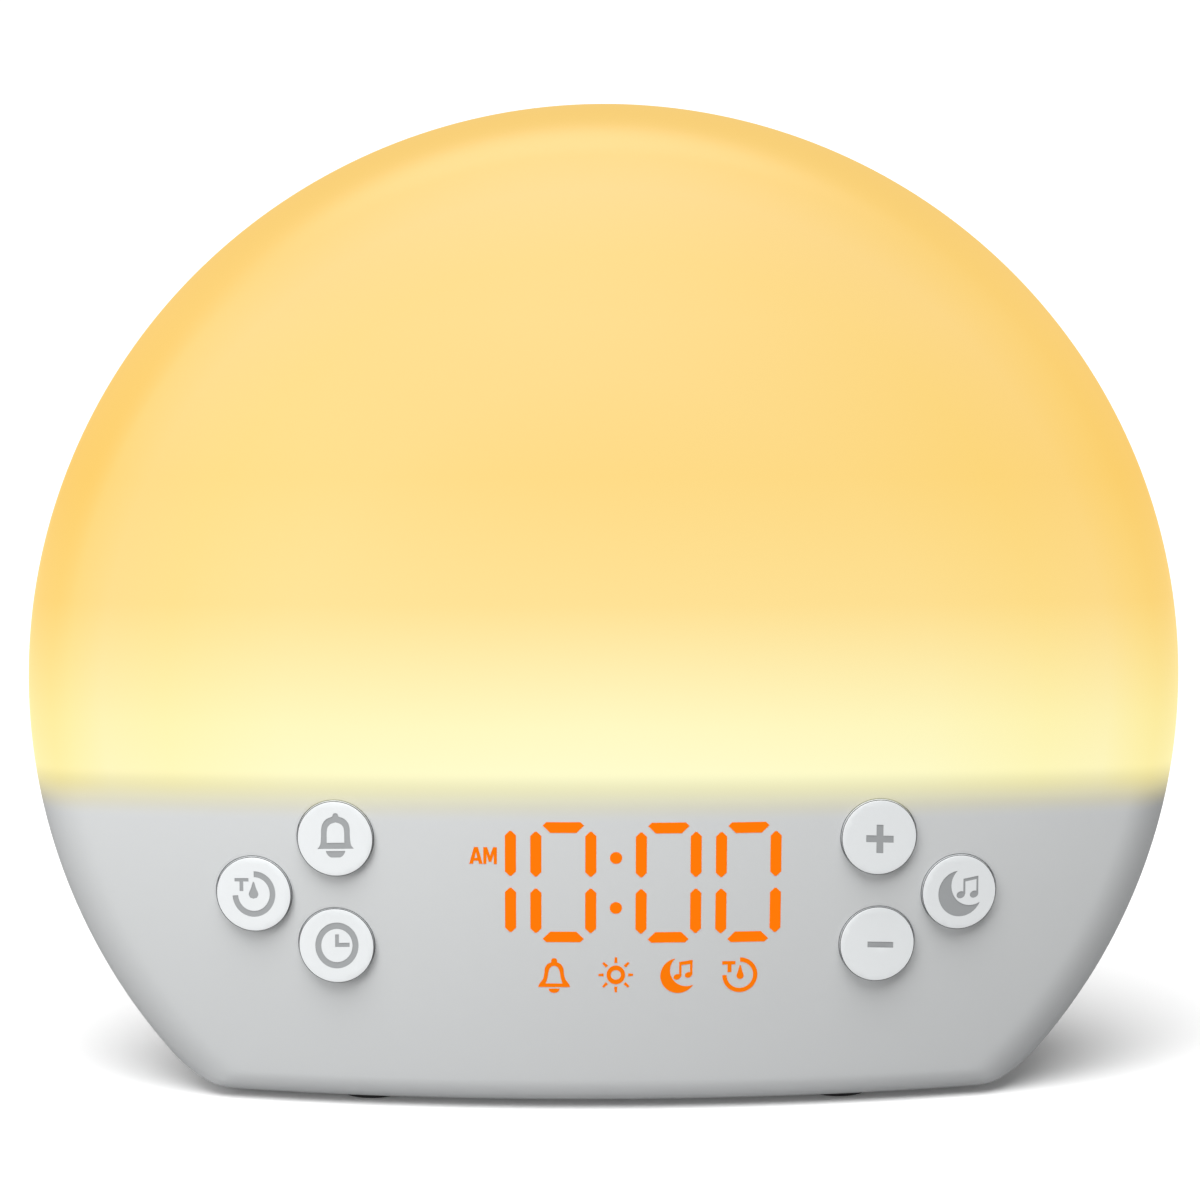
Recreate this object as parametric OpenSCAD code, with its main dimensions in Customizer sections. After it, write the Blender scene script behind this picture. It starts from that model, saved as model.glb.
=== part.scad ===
/* [Body] */
// Diameter of the round body, which is its width
body_w = 187; // [180:1:196]
// Height of the circle's centre above the base plane
centre_h = 66; // [63:0.1:69]
// Radius of the domed front
front_dome_r = 240; // [220:5:260]
// Radius of the rim between the front dome and the side
front_rim_r = 12; // [9:0.5:14]
// Depth of the straight side band between the two domes
side_band = 2.5; // [2:0.25:4]
// Radius of the domed back
rear_dome_r = 150; // [145:1:160]
// Radius of the rim between the rear dome and the side
rear_rim_r = 26; // [23:1:28]
// Rounding along the front and rear edges of the base
base_edge_r = 6; // [4.5:0.5:7]
// Rounding of the base's left and right corners
base_corner_r = 22; // [16:0.5:24]
// Wall of both shells
wall = 2.2; // [1.8:0.1:2.6]
// Thickness of the rear shell's locating tongue
tongue_t = 1; // [0.8:0.1:1.3]
// Gap between pieces that locate in each other
fit_gap = 0.1; // [0.05:0.05:0.2]

/* [Case screws] */
// Distance of the four case screws in from the side
case_screw_in = 17; // [16.5:0.5:19]
// Angle of the upper case screws above the horizontal
case_screw_up = 50; // [46:1:54]
// Angle of the lower case screws below the horizontal
case_screw_down = 40; // [38:1:42]
// Radius of the case screw shanks
case_screw_r = 1.45; // [1.2:0.05:1.6]
// Length of the case screw shanks
case_screw_len = 11; // [9:0.5:12]
// Radius of the screw pillars in both shells
pillar_r = 4; // [3.6:0.1:4.4]
// Radius of the case screw heads
case_head_r = 2.7; // [2.2:0.1:2.9]
// Height of the case screw heads
case_head_h = 2; // [1.5:0.25:2.5]
// Plastic under the case screw heads
pillar_web = 3; // [2:0.25:4]

/* [Feet] */
// Radius of the rubber feet
foot_r = 5; // [4:0.25:5.5]
// Height that the feet stand below the base
foot_h = 1; // [0.6:0.1:1.6]
// Depth of the feet's recesses
foot_recess = 0.6; // [0.4:0.1:0.8]
// Distance of the feet from the middle plane
foot_x = 38; // [34:0.5:40]
// Place of the front feet ahead of the rim plane
foot_front = 4; // [3.5:0.25:4.5]
// Place of the rear feet behind the rim plane
foot_rear = 17; // [14:0.5:18]

/* [Buttons] */
// Radius of the button caps
key_r = 5.8; // [5.2:0.1:6]
// Running gap around each cap
key_gap = 0.3; // [0.2:0.05:0.4]
// Height that the caps stand out of the dome
key_proud = 1.6; // [1.2:0.1:2]
// Travel of each button
key_travel = 0.8; // [0.5:0.1:1]
// Distance of the four inner buttons from the middle plane
key_inner_x = 43; // [42:0.2:44.4]
// Distance of the two outer buttons from the middle plane
key_outer_x = 56.15; // [55.6:0.05:57.2]
// Depth of the top buttons below the body's centre
key_top = 21.45; // [21:0.05:22.6]
// Depth of the outer buttons below the body's centre
key_mid = 31.05; // [30.6:0.05:32.4]
// Depth of the bottom buttons below the body's centre
key_low = 39.1; // [38.6:0.1:40.4]
// Wall of the guide collars behind the buttons
collar_wall = 1.3; // [1:0.1:1.4]
// Distance from the dome's inside to the outer guide collars' ends, at their outer edge
collar_in = 0.6; // [0.4:0.05:1.2]
// Thickness of the caps' retaining flanges
key_flange_t = 1.1; // [0.8:0.1:1.4]
// Radius of the button stems
key_stem_r = 1.7; // [1.4:0.1:1.9]

/* [Display] */
// Sideways place of the display's middle
display_x = 1.3; // [0:0.1:2.4]
// Depth of the digits' middle below the body's centre
display_y = 28.25; // [28:0.05:28.8]
// Height of a digit
digit_h = 19.7; // [18:0.1:20.2]
// Distance between the upright bars of a digit
digit_w = 8.65; // [7.9:0.05:8.7]
// Width of a bar
bar_w = 1.75; // [1.3:0.05:1.85]
// Distance of the inner digits from the display's middle
digit_in = 8.3; // [8.1:0.05:8.5]
// Distance of the outer digits from the display's middle
digit_out = 20.95; // [20.85:0.05:21.2]
// Radius of the colon's dots
colon_r = 0.95; // [0.7:0.05:1.05]
// Depth of the icon row below the body's centre
icon_y = 43.7; // [43.5:0.1:44.4]
// Distance between the icons
icon_pitch = 9.8; // [9.2:0.1:10]
// Width and height of an icon window
icon_win = 6.2; // [5.4:0.1:6.4]
// Border of the display block around its windows
block_border = 1.6; // [1.2:0.1:1.8]
// Thickness of the masking film on the display block
film_t = 0.25; // [0.15:0.05:0.35]

/* [Front board] */
// Distance of the front board's face behind the guide collars' ends
board_in = 6.2; // [5.8:0.1:6.4]
// Thickness of the circuit boards
board_t = 1.6; // [1:0.1:1.6]
// Half width of the front board
board_half_w = 61; // [60:0.5:62]
// Depth of the front board's top edge below the body's centre
board_top = 18; // [17.8:0.1:18.4]
// Depth of the front board's bottom edge below the body's centre
board_bottom = 51; // [50:0.5:52]
// Radius of the posts and bosses that take small screws
post_r = 2.5; // [2.2:0.1:2.7]
// Radius of the small screws' shanks
screw_r = 1; // [0.8:0.05:1.15]
// Radius of the small screws' heads
screw_head_r = 1.9; // [1.5:0.1:2.1]
// Height of the small screws' heads
screw_head_h = 1.2; // [0.9:0.1:1.4]
// Length of the small screws' shanks
screw_len = 5.5; // [5:0.25:6]
// Width of the key switches
switch_w = 6; // [5:0.25:6.5]
// Height of the key switches
switch_h = 3.5; // [3:0.1:3.8]

/* [Lamp] */
// Depth of the light baffle's top face below the body's centre
baffle_y = 15.5; // [15.3:0.1:15.6]
// Thickness of the baffle and the reflector
sheet_t = 1.8; // [1.4:0.1:1.8]
// Gap between the baffle's edge and the dome
baffle_gap = 0.4; // [0.3:0.05:0.5]
// Plane of the reflector's back, behind the rim plane
reflector_back = 1.5; // [1.3:0.1:2]
// Gap between the reflector's edge and the tongue
reflector_gap = 0.5; // [0.4:0.1:0.8]
// Depth of the reflector's upturned rim
reflector_rim = 6; // [4:0.5:7]
// Length of the lamp board
lamp_board_w = 66; // [60:1:70]
// Width of the lamp board
lamp_board_d = 10; // [8:0.5:11]
// Number of lamp LEDs
lamp_led_count = 11; // [7:2:13]
// Width of a lamp LED
lamp_led_w = 3; // [2:0.25:3.5]

/* [Speaker] */
// Height of the speaker's axis above the body's centre
speaker_y = 14; // [12:0.5:15]
// Radius of the speaker frame
speaker_r = 28.6; // [27:0.2:29.4]
// Distance of the speaker's seat in from the rear dome's middle
speaker_in = 12.5; // [12:0.25:13.5]
// Thickness of the speaker frame's flange
speaker_flange_t = 1.5; // [1.2:0.1:2]
// Depth of the speaker's basket
basket_h = 11; // [10:0.25:12]
// Radius of the speaker's magnet
magnet_r = 15; // [13:0.5:17]
// Height of the speaker's magnet
magnet_h = 8; // [6:0.5:9]
// Radius of the speaker's cone
cone_r = 20.7; // [20:0.1:21]
// Travel of the cone each way
cone_travel = 0.5; // [0.3:0.1:0.7]
// Radius of the grille's holes
grille_hole_r = 1.2; // [0.8:0.1:1.4]
// Distance between the grille's rings of holes
grille_pitch = 4.2; // [3.8:0.1:4.4]
// Number of rings of holes
grille_rings = 4; // [2:1:4]

/* [Main board] */
// Height of the main board's top face above the base plane
main_top = 10.5; // [10:0.25:11.5]
// Half width of the main board
main_half_w = 42; // [41:0.5:42.5]
// Front edge of the main board, behind the rim plane
main_front = 5; // [5:0.25:6]
// Distance of the main board's rear edge ahead of the inlet pocket's floor
main_rear_in = 4; // [4:0.25:5]
// Sideways place of the power inlet
inlet_x = 28; // [26:0.5:29]
// Radius of the pocket around the power inlet
inlet_r = 6.8; // [6:0.1:7]
// Depth of the pocket around the power inlet
inlet_depth = 6.1; // [5.6:0.25:6.6]
// Radius of the socket for the plug's barrel
socket_r = 3.15; // [3:0.05:3.4]
// Radius of the socket's centre pin
socket_pin_r = 1; // [0.8:0.05:1.2]
// Width of the power socket
jack_w = 9; // [8.5:0.25:10]
// Height of the power socket
jack_h = 11; // [10.5:0.25:11.5]
// Length of the power socket
jack_len = 14; // [12:0.5:15]
// Radius of the backup cell
cell_r = 10; // [9:0.25:10]
// Thickness of the backup cell
cell_t = 3.2; // [2.5:0.1:3.4]

/* [Hidden] */

$fn = 96;
fine = 240;          // segments on the large body curves
seam = 0.02;         // overlap that keeps joined shapes from sharing a face
edge_bite = 0.03;    // depth by which a base edge's rounding cuts into the dome
long = 200;          // longer than any piece

// Every piece is drawn as seen from the front: x to the right, y up, z towards the viewer,
// with the origin at the circle's centre on the rim plane, where the front dome's rim begins.
R = body_w / 2;
front_back = dome_back(front_dome_r, front_rim_r);
rear_back = dome_back(rear_dome_r, rear_rim_r);
front_h = front_dome_r - front_back;
rear_h = rear_dome_r - rear_back;
body_d = front_h + side_band + rear_h;
function dome_back(dome_r, rim_r) = sqrt(pow(dome_r - rim_r, 2) - pow(R - rim_r, 2));
module place() {
    translate([0, front_h - body_d / 2, foot_h + centre_h]) rotate([90, 0, 0]) children();
}

case_screw_at = R - case_screw_in;
case_screw_angles = [case_screw_up, 180 - case_screw_up, 180 + case_screw_down, -case_screw_down];
seat_z = -side_band - pillar_web;              // under the case screw heads
top_post = [55.5, -baffle_y - sheet_t - post_r - 2 * fit_gap];
low_post = [36, 2.5 - board_bottom];
posts = [for (side = [-1, 1], at = [top_post, low_post]) [side * at[0], at[1]]];
keys = [[-key_inner_x, -key_top], [-key_outer_x, -key_mid], [-key_inner_x, -key_low],
    [key_inner_x, -key_top], [key_outer_x, -key_mid], [key_inner_x, -key_low]];
collar_r = key_r + key_gap + collar_wall;
collar_edge = norm([key_outer_x, key_mid]) + collar_r;
collar_end = sqrt(pow(front_dome_r - wall, 2) - collar_edge * collar_edge) - front_back - collar_in;
board_z = collar_end - board_in;               // plane of the front board's face
key_flange_r = collar_r - 0.5;
key_flange_z = collar_end - fit_gap - key_flange_t;
stem_dip = key_travel + 0.5;                   // depth of the stem in its switch at rest
stem_gap = 0.15;                               // around the stem, and under it when pressed
board_back = board_z - board_t;
screw_gap = 0.05;                              // around a screw shank in its hole
screw_end = 0.5;                               // under its end
pass_gap = 0.2;                                // around a shank in a piece that it clamps

// Upper right part of a dome's section, with its rim, inset by d.
module dome_section(dome_r, rim_r, d) {
    back = dome_back(dome_r, rim_r);
    reach = 1.1 * dome_r / (dome_r - rim_r);
    blend = [reach * (R - rim_r), (reach - 1) * back];
    intersection() {
        translate([0, -back]) circle(r = dome_r - d, $fn = fine);
        polygon([[0, 0], [R - rim_r, 0], blend, [0, dome_r]]);
    }
    intersection() {
        translate([R - rim_r, 0]) circle(r = rim_r - d, $fn = 72);
        polygon([[R - rim_r, 0], [R + 1, 0], blend]);
    }
}
// Turned shape that rounds the edge between a dome and the base, inset by d.
module edge_roller(dome_r, rim_r, d) {
    edge_r = base_edge_r - d;
    low = -centre_h + d;
    mid = low + edge_r;
    out = sqrt(pow(dome_r - d - edge_r - edge_bite, 2) - mid * mid);
    turn = atan2(mid, out);
    along = [cos(turn), sin(turn)];
    touch = [out, mid] + edge_r * along;
    clear = touch + centre_h * [-along[1], along[0]];
    top = R + 20;
    translate([0, 0, -dome_back(dome_r, rim_r)]) rotate([-90, 0, 0]) rotate_extrude($fn = 360) {
        polygon([[0, low], [out, low], [out, mid], touch, clear, [clear[0], top], [0, top]]);
        intersection() {
            translate([out, mid]) circle(r = edge_r, $fn = 72);
            polygon([[out, mid], [out, low - 1], [out + edge_r + 1, low - 1],
                [out, mid] + 2 * edge_r * along]);
        }
    }
}
// Front view of the body, inset by d.
module outline(d) {
    low = -centre_h + d;
    corner_r = base_corner_r - d;
    reach = 1.5 * base_corner_r;
    mid = low + corner_r;
    out = sqrt(pow(R - d - corner_r, 2) - mid * mid);
    turn = atan2(mid, out);
    difference() {
        circle(r = R - d, $fn = fine);
        translate([-R, low - R]) square([2 * R, R]);
        for (side = [-1, 1]) difference() {
            polygon([[side * out, mid], [side * out, low - 5], [side * (R + 5), low - 5],
                [side * (out + reach * cos(turn)), mid + reach * sin(turn)]]);
            translate([side * out, mid]) circle(r = corner_r + seam);
        }
    }
}
// Solid half of the body, inset by d, with its dome towards +z above a straight band.
module half_body(dome_r, rim_r, d, band) {
    intersection() {
        union() {
            rotate_extrude($fn = fine) dome_section(dome_r, rim_r, d);
            if (band > 0) translate([0, 0, -band]) cylinder(r = R - d, h = band, $fn = fine);
        }
        translate([0, 0, -band]) linear_extrude(height = long) outline(d);
        edge_roller(dome_r, rim_r, d);
    }
}
module front_half(d) half_body(front_dome_r, front_rim_r, d, side_band);
module rear_half(d) {
    translate([0, 0, -side_band]) mirror([0, 0, 1]) half_body(rear_dome_r, rear_rim_r, d, 0);
}
module bore(at, r, from, depth) translate([at[0], at[1], from]) cylinder(r = r, h = depth);
// Screw with its head's underside at z = 0 and its shank towards +z.
module screw(shank_r, shank_len, head_r, head_h) {
    slot = 0.6 * head_r;
    translate([0, 0, -seam]) cylinder(r = shank_r, h = shank_len + seam, $fn = 32);
    translate([0, 0, -head_h]) difference() {
        cylinder(r = head_r, h = head_h, $fn = 48);
        for (turn = [0, 90]) rotate(turn) {
            translate([-slot, -slot / 5, -1]) cube([2 * slot, slot / 2.5, 1 + head_h * 0.4]);
        }
    }
}
module small_screw() screw(screw_r, screw_len, screw_head_r, screw_head_h);
function turned(r, angle) = [r * cos(angle), r * sin(angle)];

// ---- shells ----
reflector_posts = [turned(case_screw_at, 20), turned(case_screw_at, 90), turned(case_screw_at, 160)];
reflector_front = sheet_t - reflector_back;
// Collars, posts and pillars of the front shell, past its dome.
module front_posts() {
    for (at = keys) bore(at, collar_r, collar_end, long);
    for (at = posts) bore(at, post_r, board_z, long);
    for (at = reflector_posts) bore(at, post_r, reflector_front, long);
    for (angle = case_screw_angles) bore(turned(case_screw_at, angle), pillar_r, -side_band, long);
}
module front_shell() color([0.98, 0.86, 0.6]) place() {
    difference() {
        union() {
            difference() {
                front_half(0);
                translate([0, 0, -seam]) front_half(wall);
            }
            intersection() {
                front_posts();
                front_half(wall / 2);
            }
        }
        for (at = keys) bore(at, key_r + key_gap, collar_end - 1, long);
        for (at = posts) bore(at, screw_r + screw_gap, board_z - 1, screw_len + 1);
        for (at = reflector_posts) bore(at, screw_r + screw_gap, reflector_front - 1, screw_len + 1);
        for (angle = case_screw_angles) {
            bore(turned(case_screw_at, angle), case_screw_r + screw_gap, -side_band - 1,
                case_screw_len - pillar_web + 1.5);
        }
        for (side = [-1, 1]) foot_pocket([side * foot_x, foot_front]);
    }
}
module foot_pocket(at) {
    translate([at[0], -centre_h - 1, at[1]]) rotate([-90, 0, 0]) {
        cylinder(r = foot_r + fit_gap, h = foot_recess + 1);
    }
}
speaker_seat = side_band + rear_h - speaker_in;
speaker_screw_at = speaker_r - screw_head_r;
speaker_ring = 4.4;                            // width of the speaker's seat
speaker_rim = 0.8;                             // of the seat, outside the speaker's frame
main_y = -centre_h + main_top;                 // top face of the main board
inlet_y = main_y + jack_h / 2;
inlet_wall = 2;
inlet_skin = side_band + sqrt(pow(rear_dome_r, 2) - pow(inlet_x, 2) - pow(inlet_y, 2)) - rear_back;
inlet_floor = inlet_skin - inlet_depth;
main_rear = inlet_floor - main_rear_in;
main_post_in = 3.5;                            // from the board's edges
main_posts = [for (x = [main_post_in - main_half_w, main_half_w - main_post_in],
    z = [main_front + main_post_in, main_rear - main_post_in]) [x, z]];
case_screw_gap = 0.15;                         // around the shanks of the case screws
case_head_gap = 0.3;                           // around their heads
// Tongue that locates the front shell, on a root that joins it to the wall.
module tongue() {
    root = 1.5;
    translate([0, 0, -side_band - root]) {
        linear_extrude(height = root) difference() {
            outline(wall / 2);
            outline(wall + fit_gap + tongue_t);
        }
        linear_extrude(height = root + side_band - fit_gap) difference() {
            outline(wall + fit_gap);
            outline(wall + fit_gap + tongue_t);
        }
    }
}
// Pillars, speaker ring, inlet cup and board posts of the rear shell, past its dome.
module rear_posts() {
    for (angle = case_screw_angles) bore(turned(case_screw_at, angle), pillar_r, -side_band - long, long);
    bore([inlet_x, inlet_y], inlet_r + inlet_wall, inlet_wall - inlet_floor - long, long);
    translate([0, speaker_y, -speaker_seat - long]) linear_extrude(height = long) difference() {
        circle(r = speaker_r + speaker_rim);
        circle(r = ring_in);
    }
    for (at = main_posts) translate([at[0], -centre_h, -at[1]]) rotate([-90, 0, 0]) {
        cylinder(r = post_r, h = main_top - board_t);
    }
}
module rear_shell() color([0.9, 0.9, 0.88]) place() {
    difference() {
        union() {
            difference() {
                rear_half(0);
                translate([0, 0, seam]) rear_half(wall);
            }
            tongue();
            intersection() {
                rear_posts();
                rear_half(wall / 2);
            }
        }
        for (i = [0:3]) {
            bore([0, speaker_y] + turned(speaker_screw_at, 45 + 90 * i), screw_r + screw_gap,
                basket_z - speaker_seat - screw_len - screw_end, screw_len);
        }
        grille_holes();
        bore([inlet_x, inlet_y], inlet_r, -inlet_floor - long, long);
        bore([inlet_x, inlet_y], socket_r, -inlet_floor - 1, inlet_wall + 2);
        for (angle = case_screw_angles) {
            bore(turned(case_screw_at, angle), case_screw_r + case_screw_gap, seat_z - 1, long);
            bore(turned(case_screw_at, angle), case_head_r + case_head_gap, seat_z - long, long);
        }
        for (at = main_posts) translate([at[0], main_y - screw_len, -at[1]]) rotate([-90, 0, 0]) {
            cylinder(r = screw_r + screw_gap, h = screw_len);
        }
        for (side = [-1, 1]) foot_pocket([side * foot_x, -foot_rear]);
    }
}
module grille_holes() {
    translate([0, speaker_y, -long]) linear_extrude(height = long - speaker_seat) {
        circle(r = grille_hole_r, $fn = 24);
        for (ring = [1:grille_rings], i = [0:6 * ring - 1]) {
            translate(turned(ring * grille_pitch, 60 * i / ring)) circle(r = grille_hole_r, $fn = 24);
        }
    }
}
module rubber_feet() color([0.25, 0.25, 0.26]) place() {
    for (side = [-1, 1], z = [foot_front, -foot_rear]) translate([side * foot_x, -centre_h - foot_h, z]) {
        rotate([-90, 0, 0]) rotate_extrude() {
            polygon([[0, 0], [foot_r - 0.4, 0], [foot_r, 0.4], [foot_r, foot_h + foot_recess],
                [0, foot_h + foot_recess]]);
        }
    }
}
module case_screws() color("silver") place() {
    for (angle = case_screw_angles) translate(concat(turned(case_screw_at, angle), seat_z)) {
        screw(case_screw_r, case_screw_len, case_head_r, case_head_h);
    }
}

// ---- lamp ----
lamp_board_back = 4;
lamp_cable_w = 5;
lamp_cable_x = lamp_board_w / 2 - lamp_cable_w - 8;
lamp_cable_drop = lamp_board_back - 1.9;       // plane where it passes the baffle
baffle_lug = 6;                                // height of the baffle's rear upstand
baffle_back = reflector_back + sheet_t;
baffle_screw_x = lamp_board_w / 2 + 7;
baffle_screw_at = [for (side = [-1, 1]) [side * baffle_screw_x, baffle_lug / 2 - baffle_y]];
reflector_r = R - wall - fit_gap - tongue_t - reflector_gap;
baffle_lug_w = 2 * reflector_r - 8;
rim_r = R - wall - 3.8;
rib_x = 30;
rib_t = 1.2;
rib_h = 3;
rib_len = 65;
module upper_part(r) intersection() {
    circle(r = r, $fn = fine);
    translate([-R, -baffle_y]) square([2 * R, 2 * R]);
}
module lamp_reflector() color("white") place() {
    difference() {
        union() {
            translate([0, 0, -reflector_back]) linear_extrude(height = sheet_t) upper_part(reflector_r);
            translate([0, 0, -reflector_back]) linear_extrude(height = reflector_rim) difference() {
                upper_part(rim_r);
                circle(r = rim_r - 1.2, $fn = fine);
            }
            for (x = [-rib_x, 0, rib_x]) {
                translate([x - rib_t / 2, baffle_lug + 1 - baffle_y, -reflector_back - rib_h]) {
                    cube([rib_t, rib_len, rib_h + seam]);
                }
            }
            for (at = baffle_screw_at) bore(at, post_r, 0, screw_len - baffle_back + screw_end + 1);
        }
        for (at = reflector_posts) bore(at, screw_r + pass_gap, -reflector_back - 1, long);
        for (angle = [case_screw_up, 180 - case_screw_up]) {
            bore(turned(case_screw_at, angle), pillar_r + reflector_gap, -reflector_back - 1, long);
        }
        for (at = baffle_screw_at) {
            bore(at, screw_r + screw_gap, -reflector_back - 1, screw_len - sheet_t + 1);
        }
    }
}
// Plan of the baffle, with the body's depth upwards.
module baffle_plan() {
    low = baffle_y + sheet_t;
    inset = wall + baffle_gap;
    dome_r = sqrt(pow(front_dome_r - inset, 2) - low * low);
    rim_x = sqrt(pow(R - front_rim_r, 2) - low * low);
    side_x = sqrt(reflector_r * reflector_r - low * low);
    difference() {
        intersection() {
            translate([0, -front_back]) circle(r = dome_r, $fn = fine);
            translate([-side_x, -baffle_back]) square([2 * side_x, long]);
        }
        for (side = [-1, 1]) difference() {
            polygon([[side * rim_x, 0], [side * (R + 5), 0], [side * (R + 5), R],
                [side * rim_x * 1.2, front_back * 0.2]]);
            translate([side * rim_x, 0]) circle(r = front_rim_r - inset + seam);
        }
    }
}
module light_baffle() color("white") place() {
    difference() {
        union() {
            translate([0, -baffle_y, 0]) rotate([90, 0, 0]) linear_extrude(height = sheet_t) baffle_plan();
            translate([-baffle_lug_w / 2, -baffle_y - sheet_t, -baffle_back]) {
                cube([baffle_lug_w, sheet_t + baffle_lug, sheet_t]);
            }
        }
        for (at = [keys[0], keys[3]]) bore(at, collar_r + baffle_gap, board_z, long);
        for (at = baffle_screw_at) bore(at, screw_r + pass_gap, -baffle_back - 1, 2 * sheet_t);
        translate([lamp_cable_x - 0.5, -baffle_y - sheet_t - 1, lamp_cable_drop - 1.1]) {
            cube([lamp_cable_w + 1, sheet_t + 2, 2.2]);
        }
    }
}
module lamp_board() color("white") place() {
    translate([-lamp_board_w / 2, -baffle_y, lamp_board_back]) cube([lamp_board_w, board_t, lamp_board_d]);
}
module lamp_leds() color("gold") place() {
    reach = lamp_board_w / 2 - lamp_led_w;
    led_z = lamp_board_back + lamp_board_d - lamp_led_w - 2;
    for (i = [0:lamp_led_count - 1]) {
        x = reach * (2 * i / (lamp_led_count - 1) - 1);
        translate([x - lamp_led_w / 2, board_t - baffle_y, led_z]) {
            cube([lamp_led_w, 0.8, lamp_led_w]);
        }
    }
}
module reflector_screws() color("silver") place() {
    for (at = reflector_posts) translate(concat(at, -reflector_back)) small_screw();
}
module baffle_screws() color("silver") place() {
    for (at = baffle_screw_at) translate(concat(at, -baffle_back)) small_screw();
}

// ---- display ----
digits = [-digit_out, -digit_in, digit_in, digit_out];
icons = [-1, 0, 1, 2];                         // in steps of the icon pitch
upright_end = 1.8;                             // from a digit's end to its upright bars
upright_mid = 1;                               // from its middle to them
upright = digit_h / 2 - upright_end - upright_mid;
upright_y = upright_mid + upright / 2;
across = digit_w - bar_w - 0.2;                // length of a digit's middle bar
end_bevel = 0.4;                               // of the end bars' outer corners
half_day = 4.1;                                // height of the dots and of the half-day windows
lens_gap = 0.05;
lens_depth = 9;                                // from the dome's inside to the lenses' backs
// Bar along x with pointed ends, made smaller all round by gap.
module pointed_bar(length, gap) {
    tip = length / 2 - 1.4 * gap;
    half = bar_w / 2 - gap;
    polygon([[-tip, 0], [half - tip, half], [tip - half, half], [tip, 0], [tip - half, -half],
        [half - tip, -half]]);
}
// Bar along x that narrows towards the digit's middle, with its outer edge on y = 0.
module end_bar(length, gap) {
    tip = length / 2 - 1.4 * gap;
    wide = tip - end_bevel + gap;
    narrow = tip + end_bevel - bar_w + gap;
    polygon([[-tip, -end_bevel], [-wide, -gap], [wide, -gap], [tip, -end_bevel],
        [narrow, gap - bar_w], [-narrow, gap - bar_w]]);
}
module digit_bars(gap) {
    for (side = [-1, 1], level = [-1, 1]) {
        translate([side * digit_w / 2, level * upright_y]) rotate(90) pointed_bar(upright, gap);
    }
    pointed_bar(across, gap);
    for (turn = [0, 180]) rotate(turn) translate([0, digit_h / 2]) end_bar(across - 0.5, gap);
}
module display_windows(gap) {
    translate([display_x, -display_y]) {
        for (x = digits) translate([x, 0]) digit_bars(gap);
        for (level = [-1, 1]) {
            translate([0, half_day * level]) circle(r = colon_r - gap, $fn = 32);
            translate([-digit_out, half_day * level]) square([4.8 - 2 * gap, 3 - 2 * gap], center = true);
        }
    }
    for (step = icons) {
        translate([display_x + step * icon_pitch, -icon_y]) square(icon_win - 2 * gap, center = true);
    }
}
module display_outline() {
    half_w = digit_out + digit_w / 2 + bar_w / 2 + block_border;
    top = -baffle_y - sheet_t - fit_gap;
    low = -icon_y - icon_win / 2 - block_border;
    translate([display_x - half_w, low]) square([2 * half_w, top - low]);
}
module display_block() color([0.2, 0.2, 0.2]) place() {
    intersection() {
        translate([0, 0, board_z]) linear_extrude(height = long) difference() {
            display_outline();
            display_windows(0);
        }
        front_half(wall + film_t + 2 * lens_gap);
    }
}
module segment_lenses() color([1, 0.6, 0.2]) place() {
    intersection() {
        translate([0, 0, front_h - wall - lens_depth]) linear_extrude(height = long) {
            display_windows(lens_gap);
        }
        front_half(wall + film_t + 2 * lens_gap);
    }
}
module mask_film() color([0.1, 0.1, 0.1]) place() {
    intersection() {
        translate([0, 0, board_z]) linear_extrude(height = long) difference() {
            display_outline();
            display_windows(0);
        }
        difference() {
            front_half(wall + lens_gap);
            translate([0, 0, -seam]) front_half(wall + film_t + lens_gap);
        }
    }
}
module chip(at, size) translate([at[0], at[1], board_z + size[2] / 2]) cube(size, center = true);
module display_leds() color("khaki") place() {
    wide = [1.6, 0.8, 0.7];
    high = [0.8, 1.6, 0.7];
    for (x = digits) {
        for (level = [-1, 0, 1]) {
            chip([display_x + x, level * (digit_h - bar_w) / 2 - display_y], wide);
        }
        for (side = [-1, 1], level = [-1, 1]) {
            chip([display_x + x + side * digit_w / 2, level * upright_y - display_y], high);
        }
    }
    for (level = [-1, 1]) {
        chip([display_x, half_day * level - display_y], wide / 1.4);
        chip([display_x - digit_out, half_day * level - display_y], wide);
    }
    for (step = icons) chip([display_x + step * icon_pitch, -icon_y], wide);
}

// ---- front board and buttons ----
ribbon_x = -8;
ribbon_w = 12;
plug_h = 4;
module display_board() color("darkgreen") place() {
    difference() {
        translate([-board_half_w, -board_bottom, board_back]) {
            cube([2 * board_half_w, board_bottom - board_top, board_t]);
        }
        for (angle = [180 + case_screw_down, -case_screw_down]) {
            bore(turned(case_screw_at, angle), pillar_r + 1, board_back - 1, board_t + 2);
        }
        for (at = posts) bore(at, screw_r + pass_gap, board_back - 1, board_t + 2);
    }
}
module front_board_screws() color("silver") place() {
    for (at = posts) translate(concat(at, board_back)) small_screw();
}
module key_switches() color([0.3, 0.3, 0.3]) place() {
    for (at = keys) translate([at[0], at[1], board_z]) difference() {
        translate([-switch_w / 2, -switch_w / 2, 0]) cube([switch_w, switch_w, switch_h]);
        translate([0, 0, switch_h - stem_dip - key_travel - stem_gap]) {
            cylinder(r = key_stem_r + stem_gap, h = switch_h);
        }
    }
}
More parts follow.
